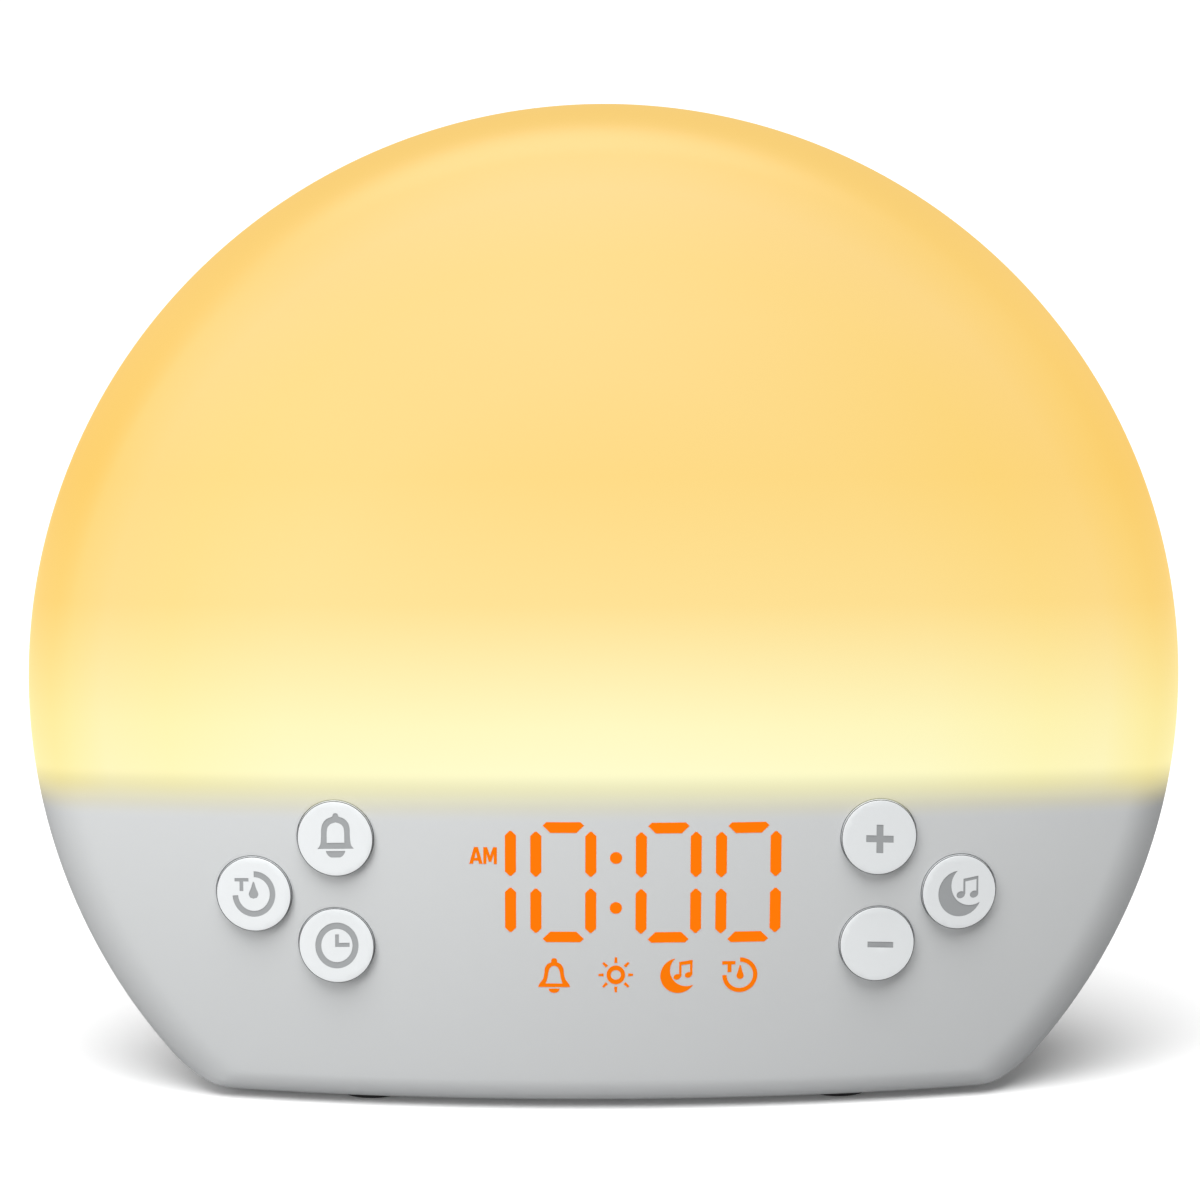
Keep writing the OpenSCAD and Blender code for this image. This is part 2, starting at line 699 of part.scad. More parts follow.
// Cap that follows the dome, its retaining flange and its stem, in one moulding.
module button(at) color([0.93, 0.93, 0.91]) place() {
    stem_z = board_z + switch_h - stem_dip;
    intersection() {
        bore(at, key_r, key_flange_z + key_flange_t - seam, long);
        translate([0, 0, -front_back]) sphere(r = front_dome_r + key_proud, $fn = fine);
    }
    bore(at, key_flange_r, key_flange_z, key_flange_t);
    bore(at, key_stem_r, stem_z, key_flange_z + seam - stem_z);
}
module alarm_button() button(keys[0]);
module timer_button() button(keys[1]);
module clock_button() button(keys[2]);
module plus_button() button(keys[3]);
module sleep_button() button(keys[4]);
module minus_button() button(keys[5]);

// ---- main board ----
holder_r = cell_r + 0.8;
holder_x = -20;
chip_w = 12;
chip_x = 4;
chip_z = main_front + plug_h + 1 + chip_w / 2; // of the chip's middle, behind the front connectors
main_mid = (main_front + main_rear) / 2;
module main_board() color("darkgreen") place() {
    difference() {
        translate([-main_half_w, main_y - board_t, -main_rear]) {
            cube([2 * main_half_w, board_t, main_rear - main_front]);
        }
        for (at = main_posts) translate([at[0], main_y - board_t - 1, -at[1]]) rotate([-90, 0, 0]) {
            cylinder(r = screw_r + pass_gap, h = board_t + 2);
        }
    }
}
module main_board_screws() color("silver") place() {
    for (at = main_posts) translate([at[0], main_y, -at[1]]) rotate([90, 0, 0]) small_screw();
}
module controller_chip() color([0.12, 0.12, 0.13]) place() {
    translate([chip_x - chip_w / 2, main_y, -chip_z - chip_w / 2]) cube([chip_w, 1.4, chip_w]);
}
module capacitors() color([0.15, 0.2, 0.35]) place() {
    for (i = [0:1]) translate([chip_x + chip_w / 2 + 5, main_y, -chip_z - 4 + 8 * i]) {
        rotate([-90, 0, 0]) cylinder(r = 3.15, h = 7);
    }
}
module power_socket() color([0.1, 0.1, 0.1]) place() {
    difference() {
        translate([inlet_x - jack_w / 2, main_y, inlet_wall - inlet_floor]) {
            cube([jack_w, jack_h, jack_len]);
        }
        bore([inlet_x, inlet_y], socket_r, inlet_wall - inlet_floor - 1, jack_len - 3);
    }
    bore([inlet_x, inlet_y], socket_pin_r, inlet_wall - inlet_floor + 1, jack_len - 3);
}
module cell_holder() color([0.15, 0.15, 0.15]) place() {
    translate([holder_x, main_y, -main_mid]) rotate([-90, 0, 0]) difference() {
        cylinder(r = holder_r, h = cell_t + 1.2);
        translate([0, 0, 1.2]) cylinder(r = cell_r + 0.1, h = cell_t + 1);
        translate([-holder_r, holder_r * 0.7, 1.2]) cube([2 * holder_r, holder_r, cell_t + 1]);
    }
}
module backup_cell() color("silver") place() {
    translate([holder_x, main_y + 1.2, -main_mid]) rotate([-90, 0, 0]) {
        cylinder(r = cell_r, h = cell_t - 0.6);
        cylinder(r = cell_r - 1, h = cell_t);
    }
}

// ---- leads ----
lead_t = 0.8;
speaker_lead_x = 8;
speaker_lead_w = 4;
function unit(v) = v / norm(v);
function normal(points, i) = let (run = unit(points[i + 1] - points[i])) [-run[1], run[0]];
// Offset of a path's point i to its left, mitred where the path bends.
function mitre(points, i) =
    i == 0 ? normal(points, 0) : i == len(points) - 1 ? normal(points, i - 1) :
    let (a = normal(points, i - 1), b = normal(points, i)) (a + b) / (1 + a * b);
// Flat lead that follows points of [z, y] in the side view, from x to x + w.
module lead(points, x, w) {
    last = len(points) - 1;
    translate([x, 0, 0]) rotate([0, -90, 0]) mirror([0, 0, 1]) linear_extrude(height = w) {
        polygon(concat([for (i = [0:last]) points[i] + lead_t / 2 * mitre(points, i)],
            [for (i = [last:-1:0]) points[i] - lead_t / 2 * mitre(points, i)]));
    }
}
plug_low = 48;
module connectors() color([0.95, 0.94, 0.88]) place() {
    translate([ribbon_x, -plug_low, board_back - plug_h]) cube([ribbon_w, plug_h, plug_h]);
    translate([ribbon_x, main_y, -main_front - plug_h]) cube([ribbon_w, plug_h, plug_h]);
    translate([lamp_cable_x, main_y, -main_front - plug_h]) cube([lamp_cable_w, plug_h, plug_h]);
    translate([speaker_lead_x, main_y, -main_rear]) cube([speaker_lead_w, plug_h, plug_h]);
}
module ribbon_cable() color("gray") place() {
    top = plug_low - plug_h / 2;
    drop = 1.5 - main_front;
    plug_y = main_y + plug_h / 2;
    lead([[board_back - plug_h, -top], [board_back - plug_h - 3, -top], [drop, -top - 3],
        [drop, plug_y], [-main_front, plug_y]], ribbon_x, ribbon_w);
}
module lamp_cable() color([0.7, 0.15, 0.12]) place() {
    top = board_t + lead_t / 2 - baffle_y;
    plug_y = main_y + plug_h / 2;
    lead([[lamp_board_back + 3, top], [lamp_cable_drop, top], [lamp_cable_drop, plug_y + 3],
        [2 - main_front, plug_y], [-main_front, plug_y]], lamp_cable_x, lamp_cable_w);
}
module speaker_cable() color([0.2, 0.2, 0.2]) place() {
    start = speaker_y - speaker_r + 3;
    plug_z = plug_h / 2 - main_rear;
    plug_y = main_y + plug_h;
    lead([[basket_z - speaker_seat, start], [-main_mid - 6, start], [-main_mid, start - 8],
        [-main_mid, plug_y + 5], [plug_z, plug_y + 3], [plug_z, plug_y]], speaker_lead_x, speaker_lead_w);
}

// ---- speaker ----
gasket_t = 0.8;
ring_in = speaker_r + speaker_rim - speaker_ring;
basket_z = gasket_t + speaker_flange_t;        // measured from the seat towards the front
surround_w = 2.6;
cone_gap = 0.3;
neck_r = 9;
pole_h = 5;                                    // of the magnet's pole, inside the basket
pole_gap = 0.5;                                // left between the pole and the cone at full travel
module at_speaker() place() translate([0, speaker_y, -speaker_seat]) children();
module speaker_bores() {
    for (i = [0:3]) bore(turned(speaker_screw_at, 45 + 90 * i), screw_r + pass_gap, -1, basket_z + 2);
}
module speaker_gasket() color([0.15, 0.15, 0.15]) at_speaker() difference() {
    cylinder(r = speaker_r, h = gasket_t);
    translate([0, 0, -1]) cylinder(r = ring_in, h = gasket_t + 2);
    speaker_bores();
}
module speaker_frame() color([0.35, 0.35, 0.36]) at_speaker() difference() {
    back = basket_z + basket_h;
    basket_r = speaker_screw_at - screw_head_r - 0.3;
    sheet = 1.4;
    step_r = magnet_r + 0.5;
    rotate_extrude() {
        polygon([[speaker_r, gasket_t], [speaker_r, basket_z], [basket_r, basket_z], [step_r, back],
            [neck_r, back], [neck_r, back - sheet], [step_r - sheet, back - sheet],
            [basket_r - sheet, basket_z], [basket_r - sheet, gasket_t]]);
    }
    for (i = [0:5]) rotate(60 * i + 15) {
        translate([0, -3.5, basket_z + 1.5]) cube([speaker_r, 7, basket_h - 5]);
    }
    speaker_bores();
}
module speaker_magnet() color([0.3, 0.3, 0.3]) at_speaker() translate([0, 0, basket_z + basket_h]) {
    cylinder(r = magnet_r, h = magnet_h);
    translate([0, 0, -pole_h]) cylinder(r = neck_r - 3, h = pole_h + seam);
}
module speaker_surround() color([0.1, 0.1, 0.1]) at_speaker() {
    roll = surround_w / 2;
    mid = cone_r + cone_gap + roll;
    rotate_extrude() {
        difference() {
            translate([mid, gasket_t - 0.4]) circle(r = roll, $fn = 48);
            translate([mid, gasket_t - 0.4]) circle(r = roll - 0.4, $fn = 48);
            translate([0, gasket_t - 0.4]) square([long, long]);
        }
        translate([mid + roll - 0.4, gasket_t - 0.42]) square([ring_in - 0.1 - mid - roll + 0.4, 0.42]);
    }
}
module speaker_cone() color([0.25, 0.25, 0.25]) at_speaker() {
    apex = basket_z + basket_h - pole_h - pole_gap - cone_travel;
    rotate_extrude() {
        polygon([[cone_r, 0.2], [cone_r, 0.9], [neck_r - 0.5, apex + 0.6], [neck_r - 0.5, apex]]);
        translate([neck_r - 1.6, apex - 0.5]) square([1.2, 4]);
    }
    translate([0, 0, apex - 1]) cylinder(r = neck_r - 0.4, h = 0.8);
}
module speaker_screws() color("silver") at_speaker() {
    for (i = [0:3]) translate(concat(turned(speaker_screw_at, 45 + 90 * i), basket_z)) {
        rotate([180, 0, 0]) small_screw();
    }
}

front_shell();
rear_shell();
lamp_reflector();
light_baffle();
lamp_board();
lamp_leds();
display_board();
display_block();
segment_lenses();
display_leds();
mask_film();
key_switches();
alarm_button();
timer_button();
clock_button();
plus_button();
sleep_button();
minus_button();
main_board();
controller_chip();
capacitors();
power_socket();
cell_holder();
backup_cell();
connectors();
ribbon_cable();
lamp_cable();
speaker_cable();
speaker_frame();
speaker_magnet();
speaker_cone();
speaker_surround();
speaker_gasket();
rubber_feet();
case_screws();
front_board_screws();
main_board_screws();
reflector_screws();
baffle_screws();
speaker_screws();
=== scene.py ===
import math

import bmesh
import bpy
import numpy as np
from mathutils import Matrix, Vector
from mathutils.geometry import delaunay_2d_cdt


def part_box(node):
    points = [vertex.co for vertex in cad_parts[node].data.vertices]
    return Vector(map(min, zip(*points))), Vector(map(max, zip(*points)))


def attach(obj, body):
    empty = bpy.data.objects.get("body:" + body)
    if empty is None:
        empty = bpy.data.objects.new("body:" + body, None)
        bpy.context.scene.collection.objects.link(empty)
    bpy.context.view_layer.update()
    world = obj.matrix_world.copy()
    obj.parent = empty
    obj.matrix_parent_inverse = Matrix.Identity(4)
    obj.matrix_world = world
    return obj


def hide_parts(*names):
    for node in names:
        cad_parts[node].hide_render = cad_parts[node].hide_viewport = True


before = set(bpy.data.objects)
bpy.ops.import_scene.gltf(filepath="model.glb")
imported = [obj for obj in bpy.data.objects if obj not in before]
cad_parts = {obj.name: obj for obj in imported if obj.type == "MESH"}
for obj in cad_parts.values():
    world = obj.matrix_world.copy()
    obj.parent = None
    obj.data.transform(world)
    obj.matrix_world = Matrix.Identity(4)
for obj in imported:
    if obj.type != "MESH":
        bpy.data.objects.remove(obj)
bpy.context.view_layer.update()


# ---- Front shell -----------------------------------------------------------------------------
# The domed front is one milky moulding. Above the light baffle the lamp's glow is painted into its skin
# as emission, and below it the plastic is a light satin grey. Collars behind its six key holes guide the
# button caps. Its back edge has a small rounded lip and meets the rear shell, and four screws hold the two
# together.
MM = 0.001                       # the pieces are drawn in millimetres
BODY_R = 93.5                    # of the round outline
SIDE_BAND = 2.5                  # the straight side behind the front's rim
WALL = 2.2
FRONT = (240.0, 12.0)            # radius of the dome, and of the rim between dome and side
FOOT_H = 1.0                     # the rubber feet lift the shells by this
CENTRE_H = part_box("front_shell")[1].z / MM - BODY_R     # the outline's centre above the table
BASE_Y = FOOT_H - CENTRE_H       # the flat base, measured from that centre
CORNER_R = 22.0                  # where the outline turns into the base
BASE_EDGE_R = 6.0                # between the dome and the base
LIP = 0.25                       # rounding along the joint between the shells
LIP_TURNS = (30, 60, 90)         # degrees round a lip at which its rows of points lie
BORDER = 8.0                     # width of the strip that turns from the dome into the side
KEY_HOLE_R, KEY_HOLE_LIP = 6.14, 0.12
KEY_STEPS = 96                   # corners round a key hole, and round a cap
COLLAR_R = 7.4
COLLAR_IN = 0.6                  # how far the outermost collars' ends stay inside the dome


def key_centre(name):
    low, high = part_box(f"{name}_button")
    return (low.x + high.x) / 2 / MM, (low.z + high.z) / 2 / MM - CENTRE_H


KEYS = {name: key_centre(name) for name in ("alarm", "timer", "clock", "plus", "sleep", "minus")}


def dome_back(half):
    """How far the centre of the dome lies behind the plane where its rim begins."""
    dome_r, rim_r = half
    return math.sqrt((dome_r - rim_r) ** 2 - (BODY_R - rim_r) ** 2)


FRONT_BACK = dome_back(FRONT)
COLLAR_REACH = math.hypot(*KEYS["sleep"]) + COLLAR_R    # of the outermost collars from the centre
COLLAR_END = math.sqrt((FRONT[0] - WALL) ** 2 - COLLAR_REACH ** 2) - FRONT_BACK - COLLAR_IN
RIM_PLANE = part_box("front_shell")[0].y / MM + FRONT[0] - FRONT_BACK


def seat(points):
    """Places in the room, in metres, of points given in millimetres to the right, up and forward."""
    p = np.asarray(points, float).reshape(-1, 3)
    return np.column_stack([p[:, 0], RIM_PLANE - p[:, 2], p[:, 1] + CENTRE_H]) * MM


def depth_inside(p, half, inset):
    """Positive inside a half body, less a skin of the inset. The third coordinate grows towards its dome."""
    dome_r, rim_r = half
    back = dome_back(half)
    x, y, w = np.abs(p[..., 0]), p[..., 1], p[..., 2]
    out = np.hypot(x, y)
    dome = dome_r - inset - np.sqrt(x * x + y * y + (w + back) ** 2)
    rim = rim_r - inset - np.hypot(out - (BODY_R - rim_r), w)
    skin = np.where(out * back < (BODY_R - rim_r) * (w + back), dome, rim)
    skin = np.where(w < 0, BODY_R - inset - out, skin)
    low = BASE_Y + inset
    rho = np.hypot(x, w + back)
    for reach, run, edge_r in ((BODY_R, x, CORNER_R), (dome_r, rho, BASE_EDGE_R)):
        edge = edge_r - inset
        mid = low + edge
        turn = math.sqrt((reach - inset - edge) ** 2 - mid * mid)
        round_off = (run > turn) & (turn * y < mid * run)
        skin = np.minimum(skin, np.where(round_off, edge - np.hypot(run - turn, y - mid), y - low))
    return skin


def reach_skin(start, way, half, inset, halvings=44):
    """Points where rays from inside a half body meet its skin."""
    near = np.zeros(start.shape[:-1])
    far = np.full(start.shape[:-1], 2.0 * BODY_R)
    for _ in range(halvings):
        half_way = (near + far) / 2
        keep = depth_inside(start + way * half_way[..., None], half, inset) > 0
        near = np.where(keep, half_way, near)
        far = np.where(keep, far, half_way)
    return start + way * ((near + far) / 2)[..., None]


def lift(xy, half, inset=0.0, just_inside=0.1):
    """Points straight above xy on a half body's skin."""
    xy = np.asarray(xy, float).reshape(-1, 2)
    start = np.column_stack([xy, np.full(len(xy), just_inside)])
    return reach_skin(start, np.broadcast_to([0.0, 0.0, 1.0], start.shape), half, inset)


def border_line(step=1.9, corner_steps=16):
    """Points of the body's outline drawn in by the border, and the outward direction at each."""
    mid = BASE_Y + CORNER_R
    out = math.sqrt((BODY_R - CORNER_R) ** 2 - mid * mid)
    corner = CORNER_R - BORDER
    turn = math.atan2(mid, out)
    points, ways = [], []
    sweep = math.pi - 2 * turn
    for a in turn + sweep * np.linspace(0, 1, int(sweep * (BODY_R - BORDER) / step), endpoint=False):
        ways.append((math.cos(a), math.sin(a)))
        points.append(((BODY_R - BORDER) * math.cos(a), (BODY_R - BORDER) * math.sin(a)))
    for k in range(corner_steps):
        a = math.pi - turn + (math.pi / 2 + turn) * k / corner_steps
        ways.append((math.cos(a), math.sin(a)))
        points.append((-out + corner * math.cos(a), mid + corner * math.sin(a)))
    for x in np.linspace(-out, out, int(2 * out / step), endpoint=False):
        ways.append((0.0, -1.0))
        points.append((x, BASE_Y + BORDER))
    for k in range(corner_steps):
        a = -math.pi / 2 + (math.pi / 2 + turn) * k / corner_steps
        ways.append((math.cos(a), math.sin(a)))
        points.append((out + corner * math.cos(a), mid + corner * math.sin(a)))
    return np.array(points), np.array(ways)


def border_strip(points, ways, half, band, inset, rows=26, tries=181):
    """Rows of points from the joint between the shells up to the border, closest where the skin bends."""
    row_length, rows_per_radian = 3, 9
    angles = np.radians(np.linspace(0, 90, tries))
    start = np.column_stack([points, np.full(len(points), LIP - band)])
    start = np.repeat(start[:, None], len(angles), 1)
    way = np.empty_like(start)
    way[..., :2] = ways[:, None] * np.cos(angles)[None, :, None]
    way[..., 2] = np.sin(angles)[None]
    skin = reach_skin(start, way, half, inset)
    run = np.diff(skin, axis=1)
    length = np.linalg.norm(run, axis=2)
    unit = run / np.maximum(length, 1e-9)[..., None]
    bend = np.zeros_like(length)
    bend[:, 1:] = np.arccos(np.clip((unit[:, 1:] * unit[:, :-1]).sum(2), -1, 1))
    share = np.cumsum(length / row_length + bend * rows_per_radian, 1)
    weight = np.concatenate([np.zeros((len(points), 1)), share], 1)
    strip = np.empty((len(points), rows + 1, 3))
    for j in range(len(points)):
        marks = np.linspace(0, weight[j, -1], rows + 1)
        for c in range(3):
            strip[j, :, c] = np.interp(marks, weight[j], skin[j, :, c])
    return strip


def circle(r, steps, at=(0.0, 0.0), start=0.0):
    a = start + 2 * math.pi * np.arange(steps) / steps
    return np.column_stack([at[0] + r * np.cos(a), at[1] + r * np.sin(a)])


def within(points, loop):
    """Which points lie inside a closed loop."""
    inside = np.zeros(len(points), bool)
    for (ax, ay), (bx, by) in zip(loop, np.roll(loop, -1, 0)):
        if ay == by:
            continue
        crossed = (ay > points[:, 1]) != (by > points[:, 1])
        inside ^= crossed & (points[:, 0] < (bx - ax) * (points[:, 1] - ay) / (by - ay) + ax)
    return inside


def triangulate(loops, loose):
    """Points, triangles and the numbers of the loops' points, for closed loops with loose points between."""
    points = [tuple(p) for loop in loops for p in loop] + [tuple(p) for p in loose]
    edges, first = [], 0
    for loop in loops:
        edges += [(first + k, first + (k + 1) % len(loop)) for k in range(len(loop))]
        first += len(loop)
    everything, same_place = 0, 1e-5
    flat, _, faces, came_from, _, _ = delaunay_2d_cdt(points, edges, [], everything, same_place)
    new_number = {}
    for new, olds in enumerate(came_from):
        for old in olds:
            new_number[old] = new
    numbers, first = [], 0
    for loop in loops:
        numbers.append([new_number[first + k] for k in range(len(loop))])
        first += len(loop)
    return np.array([tuple(p) for p in flat]), [tuple(f) for f in faces], numbers


def build(name, points, faces, materials, shades=None, sharp=35.0):
    """A closed piece from points in metres, smooth except along edges sharper than the angle."""
    mesh = bpy.data.meshes.new(name)
    work = bmesh.new()
    verts = [work.verts.new(p) for p in points]
    for i, f in enumerate(faces):
        face = work.faces.new([verts[k] for k in f])
        face.smooth = True
        face.material_index = shades[i] if shades is not None else 0
    bmesh.ops.delete(work, geom=[v for v in work.verts if not v.link_faces], context="VERTS")
    bmesh.ops.recalc_face_normals(work, faces=work.faces)
    for edge in work.edges:
        if len(edge.link_faces) == 2 and edge.calc_face_angle(0) > math.radians(sharp):
            edge.smooth = False
    work.to_mesh(mesh)
    work.free()
    piece = bpy.data.objects.new(name, mesh)
    bpy.context.scene.collection.objects.link(piece)
    for material in materials:
        mesh.materials.append(material)
    return piece


def skin_points(border, ways, holes, grid=2.3, margin=1.1):
    """Points between the border and the holes: an even grid, and closer rings round each hole."""
    ring_growth, cell_size, closest_squared = 0.25, 0.8, 0.42
    loose = []
    for h in holes:
        gap = 2 * math.pi * h["r"] / h["steps"]
        for k in (1, 2, 3):
            reach = h["r"] + h["lip"] + gap * (k + ring_growth * k * k)
            loose.append(circle(reach, h["steps"], h["at"], k * math.pi / h["steps"]))
    rows = np.arange(-BODY_R, BODY_R, grid)
    loose.append(np.array([(x, y) for y in rows for x in rows]))
    loose = np.concatenate(loose)
    keep = within(loose, border - margin * ways)
    for h in holes:
        half_gap = math.pi * h["r"] / h["steps"]
        keep &= np.hypot(*(loose - h["at"]).T) > h["r"] + h["lip"] + half_gap
    kept, cells = [], {}
    for p in loose[keep]:
        cell = (int(p[0] // cell_size), int(p[1] // cell_size))
        around = [(cell[0] + i, cell[1] + j) for i in (-1, 0, 1) for j in (-1, 0, 1)]
        near = [q for place in around for q in cells.get(place, ())]
        if all((p[0] - q[0]) ** 2 + (p[1] - q[1]) ** 2 > closest_squared for q in near):
            cells.setdefault(cell, []).append(p)
            kept.append(p)
    return kept


def shell(name, half, band, holes, material, faces_back=False):
    """Closed half shell with bored holes. Each hole has at, r, lip, steps and back_r, and a profile of
    (radius, w) that leads from its mouth to the shell's inside."""
    border, ways = border_line()
    outer = border_strip(border, ways, half, band, 0.0)
    inner = border_strip(border, ways, half, band, WALL)
    mouths = [circle(h["r"] + h["lip"], h["steps"], h["at"]) for h in holes]
    flat, faces, numbers = triangulate([border] + mouths, skin_points(border, ways, holes))
    middle = np.array([flat[list(f)].mean(0) for f in faces])
    solid = within(middle, border)
    for mouth in mouths:
        solid &= ~within(middle, mouth)
    faces = [f for f, s in zip(faces, solid) if s]
    # inside, the points move out from each mouth to the foot of the collar or pillar round it
    under = flat.copy()
    for h in holes:
        away = flat - h["at"]
        dist = np.hypot(*away.T)
        mouth_r = h["r"] + h["lip"]
        wider = h["back_r"] - mouth_r
        spread = wider * np.clip(1 - (dist - mouth_r) / (3 * max(wider, 1e-6)), 0, 1)
        spread = np.where(dist < 4 * h["back_r"], spread, 0)
        under += away / np.maximum(dist, 1e-9)[:, None] * spread[:, None]
    top, low = lift(flat, half), lift(under, half, WALL)
    points, all_faces, n = [top, low], [], len(flat)
    for f in faces:
        all_faces += [f, tuple(n + k for k in reversed(f))]
    count = 2 * n

    def add_rows(rows_of_points):
        nonlocal count
        numbers_of_rows = []
        for row in rows_of_points:
            points.append(np.asarray(row))
            numbers_of_rows.append(list(range(count, count + len(row))))
            count += len(row)
        return numbers_of_rows

    def bridge(rows_of_numbers):
        for a, b in zip(rows_of_numbers, rows_of_numbers[1:]):
            for k in range(len(a)):
                m = (k + 1) % len(a)
                all_faces.append((a[k], a[m], b[m], b[k]))

    edge = []
    for a in LIP_TURNS:
        turn = math.radians(a)
        back = np.full(len(ways), -LIP * math.sin(turn))
        step = np.column_stack([-ways * LIP * (1 - math.cos(turn)), back])
        edge.append(outer[:, 0] + step)
    foot = inner[:, 0].copy()
    foot[:, 2] = -band
    strip = [outer[:, k] for k in range(outer.shape[1] - 2, -1, -1)] + edge + [foot]
    strip += [inner[:, k] for k in range(inner.shape[1] - 1)]
    bridge([numbers[0]] + add_rows(strip) + [[n + k for k in numbers[0]]])
    for h, ring in zip(holes, numbers[1:]):
        rim = top[ring]
        wall = []
        for a in LIP_TURNS:
            turn = math.radians(a)
            r = h["r"] + h["lip"] * (1 - math.sin(turn))
            back = rim[:, 2] - h["lip"] * (1 - math.cos(turn))
            wall.append(np.column_stack([circle(r, h["steps"], h["at"]), back]))
        for r, w in h["profile"]:
            wall.append(np.column_stack([circle(r, h["steps"], h["at"]), np.full(h["steps"], w)]))
        bridge([ring] + add_rows(wall) + [[n + k for k in ring]])
    points = np.concatenate(points)
    if faces_back:
        points[:, 2] = -SIDE_BAND - points[:, 2]
    return build(name, seat(points), all_faces, [material])


def socket(tree, name, way, value=None):
    made = tree.interface.new_socket(name=name, in_out=way, socket_type="NodeSocketFloat")
    if value is not None:
        made.default_value = value


def moulding_group():
    """Fine grain of a moulded surface: a shade and a roughness that wander a little, and its height."""
    tree = bpy.data.node_groups.new("moulding", "ShaderNodeTree")
    for name, value in (("Grain per metre", 2600.0), ("Clouds per metre", 45.0), ("Shade spread", 0.03),
                        ("Roughness", 0.4), ("Roughness spread", 0.08)):
        socket(tree, name, "INPUT", value=value)
    for name in ("Shade", "Roughness", "Height"):
        socket(tree, name, "OUTPUT")
    new, link = tree.nodes.new, tree.links.new
    given, given_out = new("NodeGroupInput"), new("NodeGroupOutput")
    place = new("ShaderNodeTexCoord")
    grain, clouds = new("ShaderNodeTexNoise"), new("ShaderNodeTexNoise")
    grain.inputs["Detail"].default_value = 3.0
    clouds.inputs["Detail"].default_value = 2.0
    link(place.outputs["Object"], grain.inputs["Vector"])
    link(place.outputs["Object"], clouds.inputs["Vector"])
    link(given.outputs["Grain per metre"], grain.inputs["Scale"])
    link(given.outputs["Clouds per metre"], clouds.inputs["Scale"])

    def around(value, centre, spread, source):
        off, scaled, whole = (new("ShaderNodeMath") for _ in range(3))
        off.operation, scaled.operation, whole.operation = "SUBTRACT", "MULTIPLY", "ADD"
        off.inputs[1].default_value = 0.5
        link(source, off.inputs[0])
        link(off.outputs[0], scaled.inputs[0])
        link(spread, scaled.inputs[1])
        link(scaled.outputs[0], whole.inputs[0])
        if centre is None:
            whole.inputs[1].default_value = value
        else:
            link(centre, whole.inputs[1])
        return whole.outputs[0]

    shade = around(1.0, None, given.outputs["Shade spread"], clouds.outputs["Fac"])
    rough = around(0.0, given.outputs["Roughness"], given.outputs["Roughness spread"], grain.outputs["Fac"])
    link(shade, given_out.inputs["Shade"])
    link(rough, given_out.inputs["Roughness"])
    link(grain.outputs["Fac"], given_out.inputs["Height"])
    return tree


MOULDING = moulding_group()


def finish_material(name, colour, roughness=0.4, spread=0.03, grain=2600.0, bump=0.04, metal=0.0):
    """A material of one colour with the moulding's grain."""
    material = bpy.data.materials.new(name)
    material.use_nodes = True
    tree = material.node_tree
    shader = tree.nodes["Principled BSDF"]
    shader.inputs["Metallic"].default_value = metal
    group = tree.nodes.new("ShaderNodeGroup")
    group.node_tree = MOULDING
    for setting, value in (("Grain per metre", grain), ("Clouds per metre", 45.0), ("Shade spread", spread),
                           ("Roughness", roughness), ("Roughness spread", 0.08)):
        group.inputs[setting].default_value = value
    tint = tree.nodes.new("ShaderNodeVectorMath")
    tint.operation = "SCALE"
    tint.inputs[0].default_value = colour
    tree.links.new(group.outputs["Shade"], tint.inputs["Scale"])
    tree.links.new(tint.outputs["Vector"], shader.inputs["Base Color"])
    tree.links.new(group.outputs["Roughness"], shader.inputs["Roughness"])
    height = tree.nodes.new("ShaderNodeBump")
    height.inputs["Strength"].default_value = bump
    height.inputs["Distance"].default_value = 0.1 * MM
    tree.links.new(group.outputs["Height"], height.inputs["Height"])
    tree.links.new(height.outputs["Normal"], shader.inputs["Normal"])
    return material


GREY_SHELL = (0.480, 0.491, 0.494)
GLOW_DARKENED_BASE = (0.05, 0.03, 0.006)  # base colour darkened where the glow is painted, so the painted glow and not the lights sets the shade there
HORIZON = (-18.7, -10.2)         # heights between which the painted glow comes up past the baffle's edge
DROWNED = (-18.5, -11.5)         # heights between which the darkened base under the painted glow takes over from the plastic's own grey
BAFFLE_DROOP = 0.19              # times the square of the distance from the middle, both in metres
GLOW_STOPS = (                   # height above the body's centre, and the colour of the painted lamp glow there
    (-17.0, (0.86, 0.79, 0.25)),
    (-15.0, (0.95, 0.94, 0.54)),
    (-12.0, (0.92, 0.93, 0.60)),
    (-3.0, (0.92, 0.89, 0.52)),
    (16.0, (0.91, 0.70, 0.28)),
    (36.0, (0.90, 0.65, 0.22)),
    (60.0, (0.89, 0.66, 0.26)),
    (93.5, (0.84, 0.63, 0.25)),
)
RING_STOPS = (                   # share of the body's radius, and how the painted lamp glow changes there
    (0.0, (1.0, 1.0, 1.0)),
    (0.55, (1.0, 0.98, 0.93)),
    (0.75, (1.0, 0.955, 0.80)),
    (0.86, (1.0, 0.945, 0.835)),
    (0.92, (1.0, 0.915, 0.69)),
    (0.95, (1.0, 0.895, 0.63)),
    (0.975, (1.0, 0.895, 0.65)),
    (1.0, (1.0, 0.89, 0.66)),
)


def colour_ramp(tree, stops):
    """A ramp through the given places and colours."""
    ramp = tree.nodes.new("ShaderNodeValToRGB")
    elements = ramp.color_ramp.elements
    for k, (at, colour) in enumerate(stops):
        stop = elements[k] if k < 2 else elements.new(at)
        stop.position = at
        stop.color = colour + (1.0,)
    return ramp


